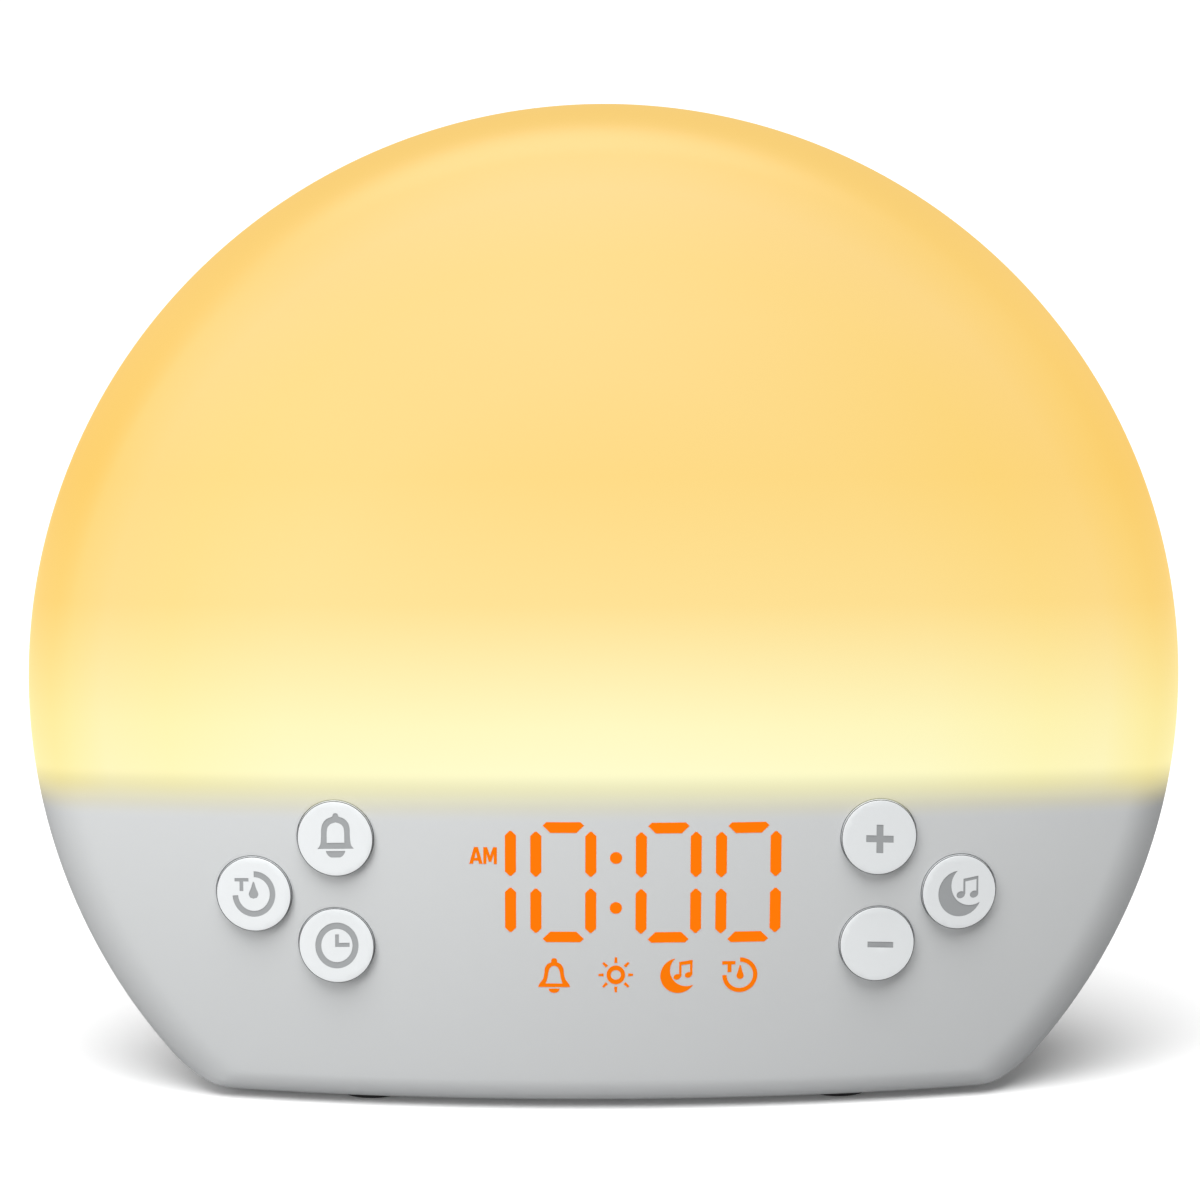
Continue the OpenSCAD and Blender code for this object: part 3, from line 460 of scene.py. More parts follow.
def milky_plastic():
    """Satin milky plastic. The lamp's glow is painted on it as emission, from yellow above the baffle to
    amber higher up.
    """
    material = finish_material("milky_plastic", GREY_SHELL, roughness=0.42, spread=0.012, bump=0.05)
    tree = material.node_tree
    new, link = tree.nodes.new, tree.links.new
    shader = tree.nodes["Principled BSDF"]
    place, split = new("ShaderNodeTexCoord"), new("ShaderNodeSeparateXYZ")
    link(place.outputs["Object"], split.inputs[0])
    # the painted glow's lower edge follows the baffle, which bends down a little towards both sides
    droop, bent = new("ShaderNodeMath"), new("ShaderNodeMath")
    droop.operation, bent.operation = "MULTIPLY", "MULTIPLY_ADD"
    link(split.outputs["X"], droop.inputs[0])
    link(split.outputs["X"], droop.inputs[1])
    link(droop.outputs[0], bent.inputs[0])
    bent.inputs[1].default_value = BAFFLE_DROOP
    link(split.outputs["Z"], bent.inputs[2])
    height = new("ShaderNodeMapRange")
    low, high = GLOW_STOPS[0][0], GLOW_STOPS[-1][0]
    height.inputs["From Min"].default_value = (CENTRE_H + low) * MM
    height.inputs["From Max"].default_value = (CENTRE_H + high) * MM
    link(bent.outputs[0], height.inputs["Value"])
    glow = colour_ramp(tree, [((level - low) / (high - low), colour) for level, colour in GLOW_STOPS])
    link(height.outputs["Result"], glow.inputs["Fac"])
    # towards the body's edge the painted glow is a little dimmer and warmer, a painted shade at the rim
    flat = new("ShaderNodeVectorMath")
    flat.operation = "MULTIPLY_ADD"
    flat.inputs[1].default_value = (1.0, 0.0, 1.0)
    flat.inputs[2].default_value = (0.0, 0.0, -CENTRE_H * MM)
    link(place.outputs["Object"], flat.inputs[0])
    away = new("ShaderNodeVectorMath")
    away.operation = "LENGTH"
    link(flat.outputs["Vector"], away.inputs[0])
    ring = colour_ramp(tree, RING_STOPS)
    reach = new("ShaderNodeMath")
    reach.operation = "DIVIDE"
    reach.inputs[1].default_value = BODY_R * MM
    link(away.outputs["Value"], reach.inputs[0])
    link(reach.outputs[0], ring.inputs["Fac"])
    lit = new("ShaderNodeVectorMath")
    lit.operation = "MULTIPLY"
    link(glow.outputs["Color"], lit.inputs[0])
    link(ring.outputs["Color"], lit.inputs[1])

    def between(heights):
        """Nothing below the first height and 1 above the second, with a soft change."""
        share = new("ShaderNodeMapRange")
        share.interpolation_type = "SMOOTHSTEP"
        share.inputs["From Min"].default_value = (CENTRE_H + heights[0]) * MM
        share.inputs["From Max"].default_value = (CENTRE_H + heights[1]) * MM
        link(bent.outputs[0], share.inputs["Value"])
        return share.outputs["Result"]

    # the painted glow starts at the baffle's edge and goes into the emission
    risen = new("ShaderNodeVectorMath")
    risen.operation = "SCALE"
    link(lit.outputs["Vector"], risen.inputs[0])
    link(between(HORIZON), risen.inputs["Scale"])
    link(risen.outputs["Vector"], shader.inputs["Emission Color"])
    shader.inputs["Emission Strength"].default_value = 1.0
    shader.inputs["Specular IOR Level"].default_value = 0.35
    # under the painted glow the plastic's grey is swapped for a darkened base, so the lights hardly shade it
    mix = new("ShaderNodeMix")
    mix.data_type = "RGBA"
    mix.inputs["B"].default_value = GLOW_DARKENED_BASE + (1.0,)
    link(between(DROWNED), mix.inputs["Factor"])
    own = shader.inputs["Base Color"].links[0].from_socket
    link(own, mix.inputs["A"])
    link(mix.outputs["Result"], shader.inputs["Base Color"])
    return material


key_holes = [
    {"at": np.array(at), "r": KEY_HOLE_R, "lip": KEY_HOLE_LIP, "steps": KEY_STEPS, "back_r": COLLAR_R,
     "profile": ((KEY_HOLE_R, COLLAR_END), (COLLAR_R, COLLAR_END))}
    for at in KEYS.values()
]
front_shell = shell("front_dome", FRONT, SIDE_BAND, key_holes, milky_plastic())
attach(front_shell, "case")
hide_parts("front_shell")


# ---- Lit marks of the display ----------------------------------------------------------------
# Four digits, a colon, a half-day mark and four small signs shine through the dome from the lens
# block behind it. Each is a thin amber window that lies in the dome's skin, with the light of the LEDs
# behind it painted on as a glow.
DISPLAY_X, DISPLAY_Y = 1.3, -28.25       # middle of the digits, from the outline's centre
DIGIT_H, DIGIT_W, BAR = 19.7, 8.65, 1.75  # width between the upright bars' middles, and of a bar
UPRIGHT_END, UPRIGHT_MID = 1.55, 0.98    # gaps at an upright bar's outer end and at the digit's middle
POINT_W, POINT_H = 0.3, 0.72             # blunt points of the upright bars
LEVEL_GAP, END_BEVEL = 0.4, 0.56         # beside the level bars, and their cut ends
DIGITS = ((-20.95, True), (-8.3, False), (8.3, False), (20.95, False))    # place, and right bars only
COLON_Y, COLON_R = 4.1, 0.97
DISPLAY_LEAN = -0.008                    # the digits drop a little to the right
PROUD, DEEP = 0.04, 0.15                 # of the windows in the dome's skin


def arc(r, start, end, steps, at=(0.0, 0.0)):
    a = np.radians(np.linspace(start, end, steps))
    return np.column_stack([at[0] + r * np.cos(a), at[1] + r * np.sin(a)])


def oval(x, y, rx, ry, tilt=0.0, steps=24):
    p = circle(1.0, steps) * (rx, ry)
    c, s = math.cos(math.radians(tilt)), math.sin(math.radians(tilt))
    return np.column_stack([x + p[:, 0] * c - p[:, 1] * s, y + p[:, 0] * s + p[:, 1] * c])


def patch(left, right, low, high):
    return np.array([(left, low), (right, low), (right, high), (left, high)])


def bend_through(points, steps=5):
    """A line that bends smoothly through the points."""
    p = np.array(points, float)
    p = np.concatenate([[2 * p[0] - p[1]], p, [2 * p[-1] - p[-2]]])
    t = np.linspace(0, 1, steps, endpoint=False)[:, None]
    line = [b + ((c - a) * t + (2 * a - 5 * b + 4 * c - d) * t ** 2 + (3 * b - a - 3 * c + d) * t ** 3) / 2
            for a, b, c, d in zip(p, p[1:], p[2:], p[3:])]
    return np.concatenate(line + [p[-2:-1]])


def mirrored(right):
    """A closed outline from its right half, drawn from top to bottom."""
    right = np.asarray(right, float)
    return np.concatenate([right, right[right[:, 0] > 1e-6][::-1] * (-1, 1)])


def moved(shape, by, lean=0.0):
    """A drawing, which is a list of (outline, [gaps]), in its place. Its level lines may lean upwards."""
    def put(line):
        line = np.asarray(line, float)
        return np.column_stack([line[:, 0], line[:, 1] + lean * line[:, 0]]) + by

    return [(put(outline), [put(gap) for gap in gaps]) for outline, gaps in shape]


def hoop(rx, ry, thick, at, start=0.0, end=360.0):
    """Part of a ring, or the whole of it, with its thickness as a share of its radius."""
    inner = 1.0 - thick
    if end - start >= 360.0:
        return (circle(1.0, 72) * (rx, ry) + at, [circle(inner, 64) * (rx, ry) + at])
    line = np.concatenate([arc(1.0, start, end, 56), arc(inner, end, start, 56)])
    return (line * (rx, ry) + at, [])


def crescent(rx, ry, at, bite_r, bite):
    """A disc with a second disc, whose centre lies at bite, taken out of it."""
    dx, dy = bite[0], bite[1] * rx / ry
    d = math.hypot(dx, dy)
    facing = math.degrees(math.atan2(dy, dx))
    half_out = math.degrees(math.acos((d * d + rx * rx - bite_r ** 2) / (2 * d * rx)))
    half_in = math.degrees(math.acos((d * d + bite_r ** 2 - rx * rx) / (2 * d * bite_r)))
    outside = arc(rx, facing + half_out, facing + 360 - half_out, 60)
    inside = arc(bite_r, facing + 180 + half_in, facing + 180 - half_in, 48, (dx, dy))
    return (np.concatenate([outside, inside[1:-1]]) * (1.0, ry / rx) + at, [])


def bell(knob, dome, hollow, clapper):
    """Bell from the right halves of its parts."""
    outside = mirrored(np.concatenate([bend_through(knob), bend_through(dome)]))
    return [(outside, [mirrored(bend_through(hollow))]), (mirrored(bend_through(clapper)), [])]


def drop_hand(apex, r, middle, low):
    """A drop that points up."""
    side = bend_through([(0.12, apex - 0.1), (0.55 * r, (apex + middle) / 2), (0.93 * r, middle + 0.55 * r),
                         (r, middle), (0.72 * r, (middle + 3 * low) / 4)])
    return (mirrored(np.concatenate([[(0, apex)], side, [(0, low)]])), [])


def notes(heads, r, tilt, stems, beam):
    """Two notes under one beam."""
    shape = [(oval(x, y, r[0], r[1], tilt), []) for x, y in heads]
    shape += [(patch(*stem), []) for stem in stems]
    return shape + [(np.array(beam), [])]


def sun(rx, ry, hole, inner, outer, half):
    """Small ring with eight rays that narrow outwards, the upright ones a little longer."""
    shape = [(circle(1.0, 48) * (rx, ry), [circle(hole, 40)])]
    for k in range(8):
        a = math.radians(45 * k)
        c, s = math.cos(a), math.sin(a)
        near, far = inner + 0.05 * abs(s), outer + 0.2 * abs(s)
        ray = np.array([(near, -half), (far, -0.7 * half), (far, 0.7 * half), (near, half)])
        shape.append((np.column_stack([ray[:, 0] * c - ray[:, 1] * s, ray[:, 0] * s + ray[:, 1] * c]), []))
    return shape


def half_day_letters():
    """The letters A and M, narrow and bold."""
    top, low = 1.43, -1.31
    letter_a = np.array([(-2.24, low), (-1.66, low), (-1.53, -0.80), (-0.82, -0.80), (-0.69, low),
                         (-0.11, low), (-0.86, top), (-1.49, top)])
    gap_a = np.array([(-1.40, -0.34), (-0.95, -0.34), (-1.175, 0.62)])
    letter_m = np.array([(-0.02, low), (0.48, low), (0.48, 0.3), (0.84, -0.95), (1.26, -0.95), (1.62, 0.3),
                         (1.62, low), (2.12, low), (2.12, top), (1.52, top), (1.05, 0.05), (0.58, top),
                         (-0.02, top)])
    return [(letter_a, [gap_a]), (letter_m, [])]


def digit_bars(right_only):
    """A nought of four upright bars and two level ones, or a one of the two right-hand bars."""
    shape = []
    upright = DIGIT_H / 2 - UPRIGHT_END - UPRIGHT_MID
    shoulder = upright / 2 - POINT_H
    stick = mirrored([(POINT_W / 2, upright / 2), (BAR / 2, shoulder), (BAR / 2, -shoulder),
                      (POINT_W / 2, -upright / 2)])
    for side in ((1,) if right_only else (-1, 1)):
        for level in (-1, 1):
            at = (side * DIGIT_W / 2, level * (UPRIGHT_MID + upright / 2))
            shape.append((stick + at, []))
    if not right_only:
        tip = (DIGIT_W - BAR - LEVEL_GAP) / 2
        wide, narrow = tip - END_BEVEL, tip + END_BEVEL - BAR
        end = mirrored([(wide, 0), (tip, -END_BEVEL), (narrow, -BAR)]) + (0, DIGIT_H / 2)
        shape += [(end, []), (-end, [])]
    return shape


def covered(flat, faces, shape):
    """Which triangles a drawing covers."""
    middle = np.array([flat[list(f)].mean(0) for f in faces])
    inked = np.zeros(len(faces), bool)
    for outline, gaps in shape:
        part = within(middle, outline)
        for gap in gaps:
            part &= ~within(middle, gap)
        inked |= part
    return inked


def inlay(name, shape, material, mesh=1.5, first=(0.61, 0.57)):
    """A thin closed piece in the front dome's skin, cut to a drawing, on a mesh of the given spacing."""
    loops = [loop for outline, gaps in shape for loop in [outline] + gaps]
    low, high = np.min([l.min(0) for l in loops], 0), np.max([l.max(0) for l in loops], 0)
    loose = [(x, y) for x in np.arange(low[0] + first[0], high[0], mesh)
             for y in np.arange(low[1] + first[1], high[1], mesh)]
    flat, faces, _ = triangulate(loops, loose)
    lit = covered(flat, faces, shape)
    faces = [f for f, s in zip(faces, lit) if s]
    n, all_faces, sides = len(flat), [], {}
    for f in faces:
        all_faces += [f, tuple(n + k for k in reversed(f))]
        for a, b in zip(f, f[1:] + f[:1]):
            if sides.pop((b, a), None) is None:
                sides[(a, b)] = True
    all_faces += [(b, a, n + a, n + b) for a, b in sides]
    points = np.concatenate([lift(flat, FRONT, -PROUD), lift(flat, FRONT, DEEP)])
    return build(name, seat(points), all_faces, [material])


def lens_amber_painted_glow(name, glow):
    """Amber lens, with the light of the LEDs behind it painted on as a glow."""
    material = finish_material(name, (0.07, 0.013, 0.0), roughness=0.45, bump=0.02)
    shader = material.node_tree.nodes["Principled BSDF"]
    shader.inputs["Emission Color"].default_value = glow + (1.0,)
    shader.inputs["Emission Strength"].default_value = 1.0
    shader.inputs["Specular IOR Level"].default_value = 0.05
    return material


digit_amber = lens_amber_painted_glow("digit_amber", (0.94, 0.178, 0.0))
sign_amber = lens_amber_painted_glow("sign_amber", (0.88, 0.178, 0.0))

# the drawings of the signs are in millimetres round each sign's own middle
marks = []
for k, (x, right_only) in enumerate(DIGITS):
    at = (DISPLAY_X + x, DISPLAY_Y + DISPLAY_LEAN * x)
    marks.append((f"digit_{k + 1}", moved(digit_bars(right_only), at), digit_amber))
colon = [(circle(COLON_R, 32, (DISPLAY_X, DISPLAY_Y + level * COLON_Y)), []) for level in (-1, 1)]
marks.append(("colon", colon, digit_amber))
marks.append(("half_day", moved(half_day_letters(), (-19.58, -23.9)), sign_amber))
marks.append(("sign_bell", moved(bell(
    [(0, 3.0), (0.32, 2.9), (0.47, 2.62), (0.44, 2.36)],
    [(0.58, 2.24), (1.0, 2.03), (1.34, 1.6), (1.50, 1.1), (1.55, 0.45), (1.74, -0.44), (2.2, -1.13),
     (2.48, -1.62), (2.5, -1.88)],
    [(0, 1.71), (0.4, 1.58), (0.72, 1.22), (0.90, 0.6), (1.08, -0.44), (1.34, -1.27)],
    [(0.87, -2.14), (0.80, -2.45), (0.50, -2.75), (0, -2.88)]), (-8.45, -43.7)), sign_amber))
marks.append(("sign_sun", moved(sun(1.47, 1.58, 0.80, 1.95, 2.75, 0.25), (1.34, -43.52)), sign_amber))
marks.append(("sign_moon", moved(
    [crescent(2.84, 2.93, (0.17, 0.03), 2.62, (1.33, 0.92))]
    + notes([(0.0, -0.17), (1.8, 0.14)], (0.58, 0.46), 20,
            [(0.32, 0.70, -0.15, 2.3), (2.06, 2.44, 0.15, 2.6)],
            [(0.34, 1.76), (2.44, 2.04), (2.44, 2.66), (0.34, 2.32)]), (11.07, -43.78)), sign_amber))
marks.append(("sign_timer", moved(
    [hoop(2.80, 2.93, 0.245, (-0.04, 0.09), -180, 90), (patch(-2.88, -0.78, 1.87, 2.44), []),
     (patch(-2.02, -1.40, 0.58, 2.0), []), drop_hand(1.75, 0.57, -0.1, -0.62)], (21.12, -43.88)), sign_amber))
for name, shape, material in marks:
    mark = inlay(name, shape, material)
    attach(mark, "case")


# ---- Button caps -----------------------------------------------------------------------------
# Six round caps in white plastic slide in the collars and stand a little proud of the dome. Each is
# one moulding with a retaining flange and a stem behind it. Its face bends with the dome sideways
# but stands nearly upright, and its sign is sunk in and painted grey. The fine chamfer round the face is
# painted near-black as the shadow of the gap round the cap, and the cap's side is painted a darker grey
# as shade.
KEY_R = 6.05
CAP_FACE_R = 5.92                # the face, inside the fine chamfer painted near-black as the shadow of the gap round the cap
CAP_EDGE, CAP_CHAMFER = 0.08, 0.12       # depth of the face's rounded edge, and of the chamfer
CAP_GRID, CAP_GRID_MARGIN = 0.9, 0.4     # mesh spacing on the face, and from its edge
CAP_BEVEL, CAP_BEVEL_DEPTH = 0.03, 0.1   # from the chamfer to the side
KEY_PROUD = 1.15                 # how far the middle of the face stands out of the dome
CAP_BEND = 0.1                   # how much of the dome's upright bend the faces keep
SIGN_DEPTH = 0.08
KEY_FLANGE_R, KEY_FLANGE_T = 6.9, 1.1
KEY_FLANGE_GAP = 0.1             # between the flange and the collar in front of it
KEY_FLANGE_Z = COLLAR_END - KEY_FLANGE_GAP - KEY_FLANGE_T
KEY_STEM_R = 1.7
white_cap = finish_material("white_cap", (0.58, 0.597, 0.605), roughness=0.36, spread=0.01, bump=0.03)
grey_sign = finish_material("grey_sign", (0.250, 0.260, 0.265), roughness=0.6, spread=0.03, bump=0.06)
# painted shadow: the chamfer round each face is near-black as the shadow of the gap round the cap
painted_gap_shadow = finish_material("painted_gap_shadow", (0.03, 0.031, 0.033), roughness=0.5, spread=0.03, bump=0.03)
# painted shade: the cap's side is the same white plastic, coloured darker grey so its lit band looks dimmer
cap_side_painted_shade = finish_material("cap_side_painted_shade", (0.50, 0.515, 0.525), roughness=0.45, spread=0.01, bump=0.03)
WHITE, GREY, PAINTED_SHADOW, SIDE = range(4)       # in the cap's list of these four finishes
LEFT_LEAN, RIGHT_LEAN = 0.04, -0.06      # of the signs' level lines on the caps at both sides
KEY_SIGNS = {
    "alarm": moved(bell(
        [(0, 4.13), (0.3, 4.04), (0.44, 3.78), (0.48, 3.6)],
        [(0.6, 3.55), (1.4, 3.2), (2.02, 2.5), (2.26, 1.6), (2.28, 0.6), (2.36, -0.5), (2.52, -1.1),
         (2.9, -1.59)],
        [(0, 2.65), (0.72, 2.42), (1.22, 1.9), (1.38, 1.1), (1.40, 0.2), (1.40, -0.61)],
        [(1.56, -1.93), (1.40, -2.35), (1.1, -2.75), (0.7, -2.98)]), (0.1, 0.0), LEFT_LEAN),
    "timer": moved(
        [hoop(3.45, 3.69, 0.26, (0.05, 0.03), -176, 90), (patch(-3.05, -0.8, 2.06, 2.6), []),
         (patch(-2.25, -1.65, 0.5, 2.3), []), drop_hand(2.03, 0.75, -0.1, -0.72)], (0.0, 0.0), LEFT_LEAN),
    "clock": moved(
        [hoop(3.45, 3.72, 0.275, (0.17, 0.0)), (patch(-0.1, 0.5, -0.24, 1.8), []),
         (patch(-0.1, 2.2, -0.24, 0.44), [])], (-0.08, 0.04), LEFT_LEAN),
    "plus": moved(
        [(patch(-2.2, 2.2, -0.55, 0.55), []), (patch(-0.55, 0.55, -2.28, 2.28), [])],
        (0.08, -0.25), RIGHT_LEAN),
    "sleep": moved(
        [crescent(3.55, 3.72, (0.14, -0.22), 3.1, (1.66, 1.28))]
        + notes([(0.24, -0.44), (2.42, -0.45)], (0.7, 0.56), 20,
                [(0.66, 0.98, -0.35, 2.1), (2.8, 3.1, -0.35, 2.4)],
                [(0.66, 1.62), (3.1, 2.02), (3.1, 2.52), (0.66, 2.12)]), (0.0, 0.0)),
    "minus": moved([(patch(-2.08, 2.08, -0.465, 0.465), [])], (0.5, -0.12), RIGHT_LEAN),
}


def cap_height(xy, at):
    """A cap's face bends with the dome sideways, and from its top to its bottom it stands nearly upright."""
    dome = FRONT[0] + KEY_PROUD
    level = at[1] + CAP_BEND * (xy[:, 1] - at[1])
    return np.sqrt(dome * dome - xy[:, 0] ** 2 - level ** 2) - FRONT_BACK


def key_cap(name, at, shape, stem_end):
    """A closed cap: its face with the sunk sign, then rings back over the chamfer and flange to the stem."""
    at = np.array(at)
    shape = moved(shape, at)
    face_end = CAP_FACE_R - CAP_EDGE
    loops = [circle(face_end, KEY_STEPS, at)] + [loop for outline, gaps in shape for loop in [outline] + gaps]
    spots = np.arange(-6, 6, CAP_GRID)
    loose = np.array([(x, y) for x in spots for y in spots]) + at
    loose = loose[np.hypot(*(loose - at).T) < face_end - CAP_GRID_MARGIN]
    flat, faces, numbers = triangulate(loops, loose)
    n = len(flat)
    top = np.column_stack([flat, cap_height(flat, at)])
    points = [top, top - [0, 0, SIGN_DEPTH]]
    all_faces, shades, walls = [], [], {}
    for f, sunk in zip(faces, covered(flat, faces, shape)):
        all_faces.append(tuple(n + k for k in f) if sunk else f)
        shades.append(GREY if sunk else WHITE)
        if sunk:
            for a, b in zip(f, f[1:] + f[:1]):
                if walls.pop((b, a), None) is None:
                    walls[(a, b)] = True
    for a, b in walls:
        all_faces.append((a, b, n + b, n + a))
        shades.append(GREY)
    # each ring: radius, w or none to follow the face, distance below the face, and finish in front of it
    flange_front = KEY_FLANGE_Z + KEY_FLANGE_T
    profile = [(CAP_FACE_R - CAP_EDGE * (1 - math.sin(math.radians(a))), None,
                CAP_EDGE * (1 - math.cos(math.radians(a))), WHITE) for a in LIP_TURNS[:2]]
    profile += [
        (CAP_FACE_R, None, CAP_EDGE, WHITE),
        # the chamfer, painted as the gap's shadow
        (KEY_R - CAP_BEVEL, None, CAP_EDGE + CAP_CHAMFER, PAINTED_SHADOW),
        (KEY_R, None, CAP_EDGE + CAP_CHAMFER + CAP_BEVEL_DEPTH, SIDE),
        (KEY_R, flange_front, 0, SIDE),
        (KEY_FLANGE_R, flange_front, 0, WHITE),
        (KEY_FLANGE_R, KEY_FLANGE_Z, 0, WHITE),
        (KEY_STEM_R, KEY_FLANGE_Z, 0, WHITE),
        (KEY_STEM_R, stem_end, 0, WHITE),
    ]
    rim, front, count = top[numbers[0]], numbers[0], 2 * n
    for r, w, drop, shade in profile:
        level = rim[:, 2] - drop if w is None else np.full(KEY_STEPS, w)
        points.append(np.column_stack([circle(r, KEY_STEPS, at), level]))
        back = list(range(count, count + KEY_STEPS))
        count += KEY_STEPS
        for k in range(KEY_STEPS):
            m = (k + 1) % KEY_STEPS
            all_faces.append((front[k], back[k], back[m], front[m]))
            shades.append(shade)
        front = back
    all_faces.append(tuple(reversed(front)))
    shades.append(WHITE)
    finishes = [white_cap, grey_sign, painted_gap_shadow, cap_side_painted_shade]
    return build(name, seat(np.concatenate(points)), all_faces, finishes, shades, sharp=30.0)


for key, at in KEYS.items():
    cap = key_cap(f"{key}_cap", at, KEY_SIGNS[key], RIM_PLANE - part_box(f"{key}_button")[1].y / MM)
    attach(cap, f"{key}_key")
    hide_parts(f"{key}_button")


# ---- Lamp ------------------------------------------------------------------------------------
# A white plastic reflector and baffle, screwed to pillars of the shells, shut in the light of a row
# of LEDs on a narrow aluminium board. The baffle's front edge draws the glow's horizon.
def dress(node, kind, colour, roughness, metal=0.0):
    """A frame's own solid keeps its shape and gets its real finish."""
    material = finish_material(f"{kind}_{node}", colour, roughness=roughness, metal=metal, spread=0.06)
    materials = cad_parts[node].data.materials
    materials.clear()
    materials.append(material)


SCREW_STEEL = ("screw_steel", (0.45, 0.45, 0.44), 0.35, 1.0)
dress("lamp_reflector", "white_plastic", (0.85, 0.85, 0.83), 0.4)
dress("light_baffle", "white_plastic", (0.82, 0.82, 0.80), 0.4)
dress("lamp_board", "white_board", (0.80, 0.80, 0.76), 0.35)
dress("lamp_leds", "led", (0.85, 0.66, 0.25), 0.25)
dress("reflector_screws", *SCREW_STEEL)
dress("baffle_screws", *SCREW_STEEL)


# ---- Display block and its board -------------------------------------------------------------
# One black moulding has a well for each bar, dot and sign, with an amber lens in front and an LED
# on the green board behind it. A printed film masks it, and the board carries the key switches.
dress("display_board", "green_board", (0.02, 0.13, 0.05), 0.3)
dress("display_block", "dark_plastic", (0.05, 0.05, 0.052), 0.5)
dress("segment_lenses", "amber_lens", (0.80, 0.30, 0.04), 0.3)
dress("display_leds", "led", (0.80, 0.70, 0.30), 0.25)
dress("mask_film", "black_film", (0.02, 0.02, 0.02), 0.5)
dress("key_switches", "dark_plastic", (0.04, 0.04, 0.042), 0.45)
dress("front_board_screws", *SCREW_STEEL)


# ---- Rear shell ------------------------------------------------------------------------------
# The domed back is one moulding in satin grey-white plastic. It has the speaker's grille of round
# holes, four sunk holes for the case screws and the pocket round the power inlet.
REAR = (150.0, 26.0)             # radius of the dome, and of the rim between dome and side
SPEAKER_Y = 14.0
GRILLE_R, GRILLE_LIP, GRILLE_STEPS = 1.2, 0.2, 20
GRILLE_PITCH, GRILLE_RINGS = 4.2, 4
SCREW_AT, SCREW_ANGLES = 76.5, (50, 130, 220, -40)
SCREW_POCKET_R, SCREW_POCKET_LIP, SCREW_POCKET_STEPS = 3.0, 0.35, 40
SCREW_SEAT, SCREW_HOLE_R, PILLAR_R = 5.5, 1.6, 4.0
PILLAR_END = SIDE_BAND + 0.05    # just short of the joint between the shells
INLET_AT = (28.0, BASE_Y + 16.0)
INLET_R, INLET_LIP, INLET_STEPS = 6.8, 0.4, 72
INLET_FLOOR, INLET_WALL, SOCKET_R = 31.0, 2.0, 3.15
INLET_BACK_R = INLET_R + 0.35
rear_plastic = finish_material("rear_plastic", (0.56, 0.575, 0.57), roughness=0.45, spread=0.012, bump=0.06)


def rear_hole(at, r, lip, steps, profile=(), back_r=None):
    return {"at": np.array(at, float), "r": r, "lip": lip, "steps": steps, "back_r": back_r or r + lip,
            "profile": [(hole_r, w - SIDE_BAND) for hole_r, w in profile]}


rear_holes = [rear_hole((0.0, SPEAKER_Y), GRILLE_R, GRILLE_LIP, GRILLE_STEPS)]
for ring in range(1, GRILLE_RINGS + 1):
    for k in range(6 * ring):
        a = math.radians(60 * k / ring)
        at = (ring * GRILLE_PITCH * math.cos(a), SPEAKER_Y + ring * GRILLE_PITCH * math.sin(a))
        rear_holes.append(rear_hole(at, GRILLE_R, GRILLE_LIP, GRILLE_STEPS))
for angle in SCREW_ANGLES:
    at = (SCREW_AT * math.cos(math.radians(angle)), SCREW_AT * math.sin(math.radians(angle)))
    rear_holes.append(rear_hole(at, SCREW_POCKET_R, SCREW_POCKET_LIP, SCREW_POCKET_STEPS, (
        (SCREW_POCKET_R, SCREW_SEAT), (SCREW_HOLE_R, SCREW_SEAT), (SCREW_HOLE_R, PILLAR_END),
        (PILLAR_R, PILLAR_END)), PILLAR_R))
rear_holes.append(rear_hole(INLET_AT, INLET_R, INLET_LIP, INLET_STEPS, (
    (INLET_R, INLET_FLOOR), (SOCKET_R, INLET_FLOOR), (SOCKET_R, INLET_FLOOR - INLET_WALL),
    (INLET_BACK_R, INLET_FLOOR - INLET_WALL))))
rear_shell = shell("rear_dome", REAR, 0.0, rear_holes, rear_plastic, faces_back=True)
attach(rear_shell, "case")
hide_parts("rear_shell")


# ---- Main board and leads --------------------------------------------------------------------
# A green board on pillars of the rear shell carries the chip, the capacitors, the power socket and
# the holder of the backup cell. A flat ribbon and two leads plug into its nylon connectors.
dress("main_board", "green_board", (0.02, 0.12, 0.05), 0.3)
dress("controller_chip", "black_epoxy", (0.02, 0.02, 0.022), 0.55)
dress("capacitors", "capacitor_sleeve", (0.03, 0.05, 0.14), 0.3)
dress("power_socket", "black_plastic", (0.02, 0.02, 0.021), 0.4)
dress("cell_holder", "black_plastic", (0.03, 0.03, 0.031), 0.45)
dress("backup_cell", "nickel", (0.62, 0.60, 0.56), 0.25, 1.0)
dress("connectors", "connector_nylon", (0.80, 0.78, 0.68), 0.45)
dress("ribbon_cable", "ribbon", (0.32, 0.32, 0.33), 0.5)
dress("lamp_cable", "red_lead", (0.45, 0.03, 0.02), 0.45)
dress("speaker_cable", "black_lead", (0.02, 0.02, 0.02), 0.5)
dress("main_board_screws", *SCREW_STEEL)


# ---- Speaker ---------------------------------------------------------------------------------
# A round speaker with a steel frame, a ferrite magnet and a paper cone in a rubber surround. It is
# screwed to the rear shell behind the grille, on a foam gasket.
dress("speaker_frame", "steel_basket", (0.10, 0.10, 0.105), 0.4, 1.0)
dress("speaker_magnet", "ferrite", (0.06, 0.06, 0.062), 0.6)
dress("speaker_cone", "paper_cone", (0.035, 0.034, 0.032), 0.8)
dress("speaker_surround", "rubber_surround", (0.015, 0.015, 0.015), 0.6)
dress("speaker_gasket", "foam_gasket", (0.02, 0.02, 0.02), 0.9)
dress("speaker_screws", *SCREW_STEEL)


# ---- Case screws and feet --------------------------------------------------------------------
# Four zinc-plated screws, sunk in the rear shell, close the case. The clock stands on small rubber
# feet, glued into recesses in its base.
dress("case_screws", *SCREW_STEEL)
dress("rubber_feet", "rubber_foot", (0.045, 0.045, 0.047), 0.75)


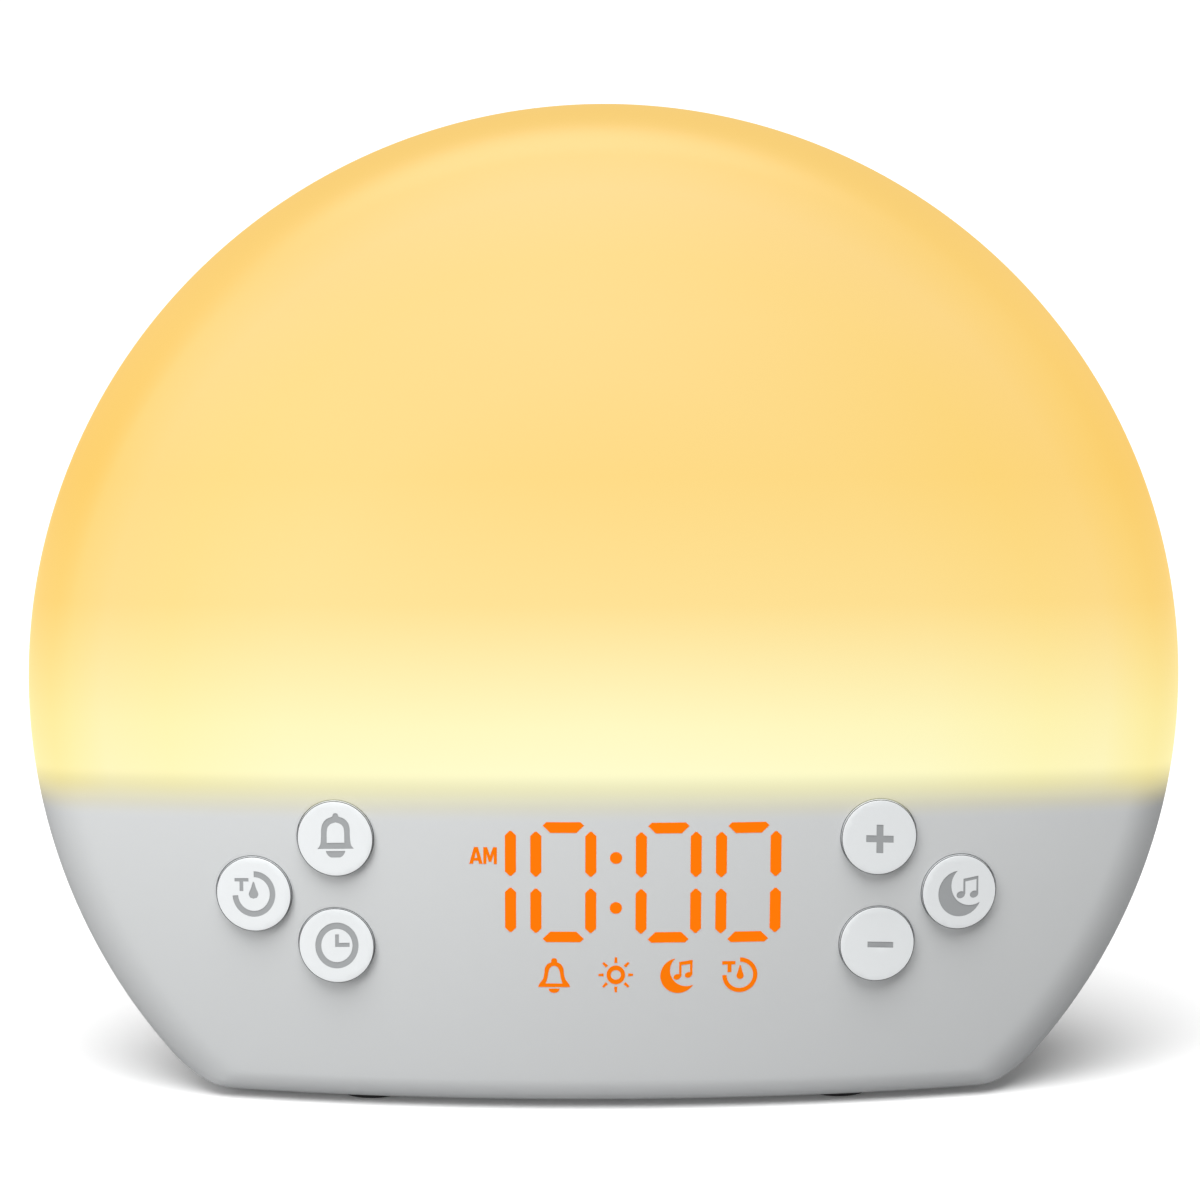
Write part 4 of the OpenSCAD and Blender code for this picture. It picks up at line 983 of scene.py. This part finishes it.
# ---- Table, light and camera -----------------------------------------------------------------
# A white table top under even soft light from above, with a wide soft light from the front left. The
# camera stands in front of the clock and a little above it.
TABLE_WHITE = (0.98, 0.98, 0.98)
TABLE_GLOW = 0.06                        # a light table is a little bright even in the shadow
TABLE_BOUNCE = (0.36, 0.36, 0.365)       # dimmer where the table lights the clock from below
WHITE_LIGHT = (1.0, 1.0, 1.0, 1.0)


def table_top(size=30.0, cells=24):
    mesh = bpy.data.meshes.new("table_top")
    work = bmesh.new()
    bmesh.ops.create_grid(work, x_segments=cells, y_segments=cells, size=size)
    work.to_mesh(mesh)
    work.free()
    top = bpy.data.objects.new("table_top", mesh)
    bpy.context.scene.collection.objects.link(top)
    white = finish_material("table_white", TABLE_WHITE, roughness=0.7, spread=0.004, grain=300.0, bump=0.0)
    tree = white.node_tree
    shader = tree.nodes["Principled BSDF"]
    own = shader.inputs["Base Color"]
    shader.inputs["Emission Color"].default_value = WHITE_LIGHT
    shader.inputs["Emission Strength"].default_value = TABLE_GLOW
    path, dim = tree.nodes.new("ShaderNodeLightPath"), tree.nodes.new("ShaderNodeMix")
    dim.data_type = "RGBA"
    dim.inputs["A"].default_value = TABLE_BOUNCE + (1.0,)
    tree.links.new(own.links[0].from_socket, dim.inputs["B"])
    tree.links.new(path.outputs["Is Camera Ray"], dim.inputs["Factor"])
    tree.links.new(dim.outputs["Result"], own)
    mesh.materials.append(white)
    return top


table_top()


def aimed(name, light, at, aim):
    lamp = bpy.data.objects.new(name, light)
    lamp.location = at
    lamp.rotation_euler = (Vector(at) - Vector(aim)).to_track_quat("Z", "Y").to_euler()
    lamp.visible_camera = False
    bpy.context.scene.collection.objects.link(lamp)


# the lights' places and sizes are in metres
overhead = bpy.data.lights.new("overhead", "SUN")
overhead.energy = 4.3
overhead.angle = math.radians(54)
aimed("overhead", overhead, (-0.10, -0.60, 1.0), (0.0, 0.0, 0.0))
key_light = bpy.data.lights.new("key", "AREA")
key_light.shape = "DISK"
key_light.size = 0.30
key_light.energy = 1.15
aimed("key", key_light, (-0.33, -0.46, 0.20), (-0.02, -0.03, 0.05))

STUDIO_LIGHT, BACKDROP_LIGHT = 0.17, 1.1     # what lights the clock, and what is seen behind it
world = bpy.data.worlds.new("studio")
bpy.context.scene.world = world
world.use_nodes = True
sky = world.node_tree
studio, backdrop = sky.nodes["Background"], sky.nodes.new("ShaderNodeBackground")
for light, strength in ((studio, STUDIO_LIGHT), (backdrop, BACKDROP_LIGHT)):
    light.inputs["Color"].default_value = WHITE_LIGHT
    light.inputs["Strength"].default_value = strength
path, pick = sky.nodes.new("ShaderNodeLightPath"), sky.nodes.new("ShaderNodeMixShader")
sky.links.new(path.outputs["Is Camera Ray"], pick.inputs["Fac"])
sky.links.new(studio.outputs[0], pick.inputs[1])
sky.links.new(backdrop.outputs[0], pick.inputs[2])
sky.links.new(pick.outputs[0], sky.nodes["World Output"].inputs["Surface"])

DISTANCE, AZIMUTH, ELEVATION = 675.5, -1.10, 8.386      # of the camera from the middle of the face
PITCH, YAW, ROLL = 7.251, -1.033, 0.03                  # down, to the side and round its own axis
FOCAL, PICTURE = 4147.9, 1200                           # focal length and picture width, in pixels
azimuth, elevation = math.radians(AZIMUTH), math.radians(ELEVATION)
pitch, yaw, roll = math.radians(PITCH), math.radians(YAW), math.radians(ROLL)
level = math.cos(elevation)
away = np.array((math.sin(azimuth) * level, -math.cos(azimuth) * level, math.sin(elevation)))
spot = np.array((0.0, RIM_PLANE, CENTRE_H)) + DISTANCE * away
forward = np.array((-math.sin(yaw) * math.cos(pitch), math.cos(yaw) * math.cos(pitch), -math.sin(pitch)))
right = np.cross(forward, (0, 0, 1))
right /= np.linalg.norm(right)
up = np.cross(right, forward)
turned_right = right * math.cos(roll) + up * math.sin(roll)
turned_up = up * math.cos(roll) - right * math.sin(roll)
camera_data = bpy.data.cameras.new("camera")
camera_data.sensor_width = 36.0
camera_data.lens = FOCAL * camera_data.sensor_width / PICTURE
camera_data.clip_start = 0.01
camera_data.clip_end = 50.0
camera = bpy.data.objects.new("camera", camera_data)
frame_of_view = np.column_stack([turned_right, turned_up, -forward, spot * MM])
camera.matrix_world = Matrix([*map(list, frame_of_view), [0, 0, 0, 1]])
bpy.context.scene.collection.objects.link(camera)
bpy.context.scene.camera = camera
bpy.context.scene.view_settings.view_transform = "Standard"
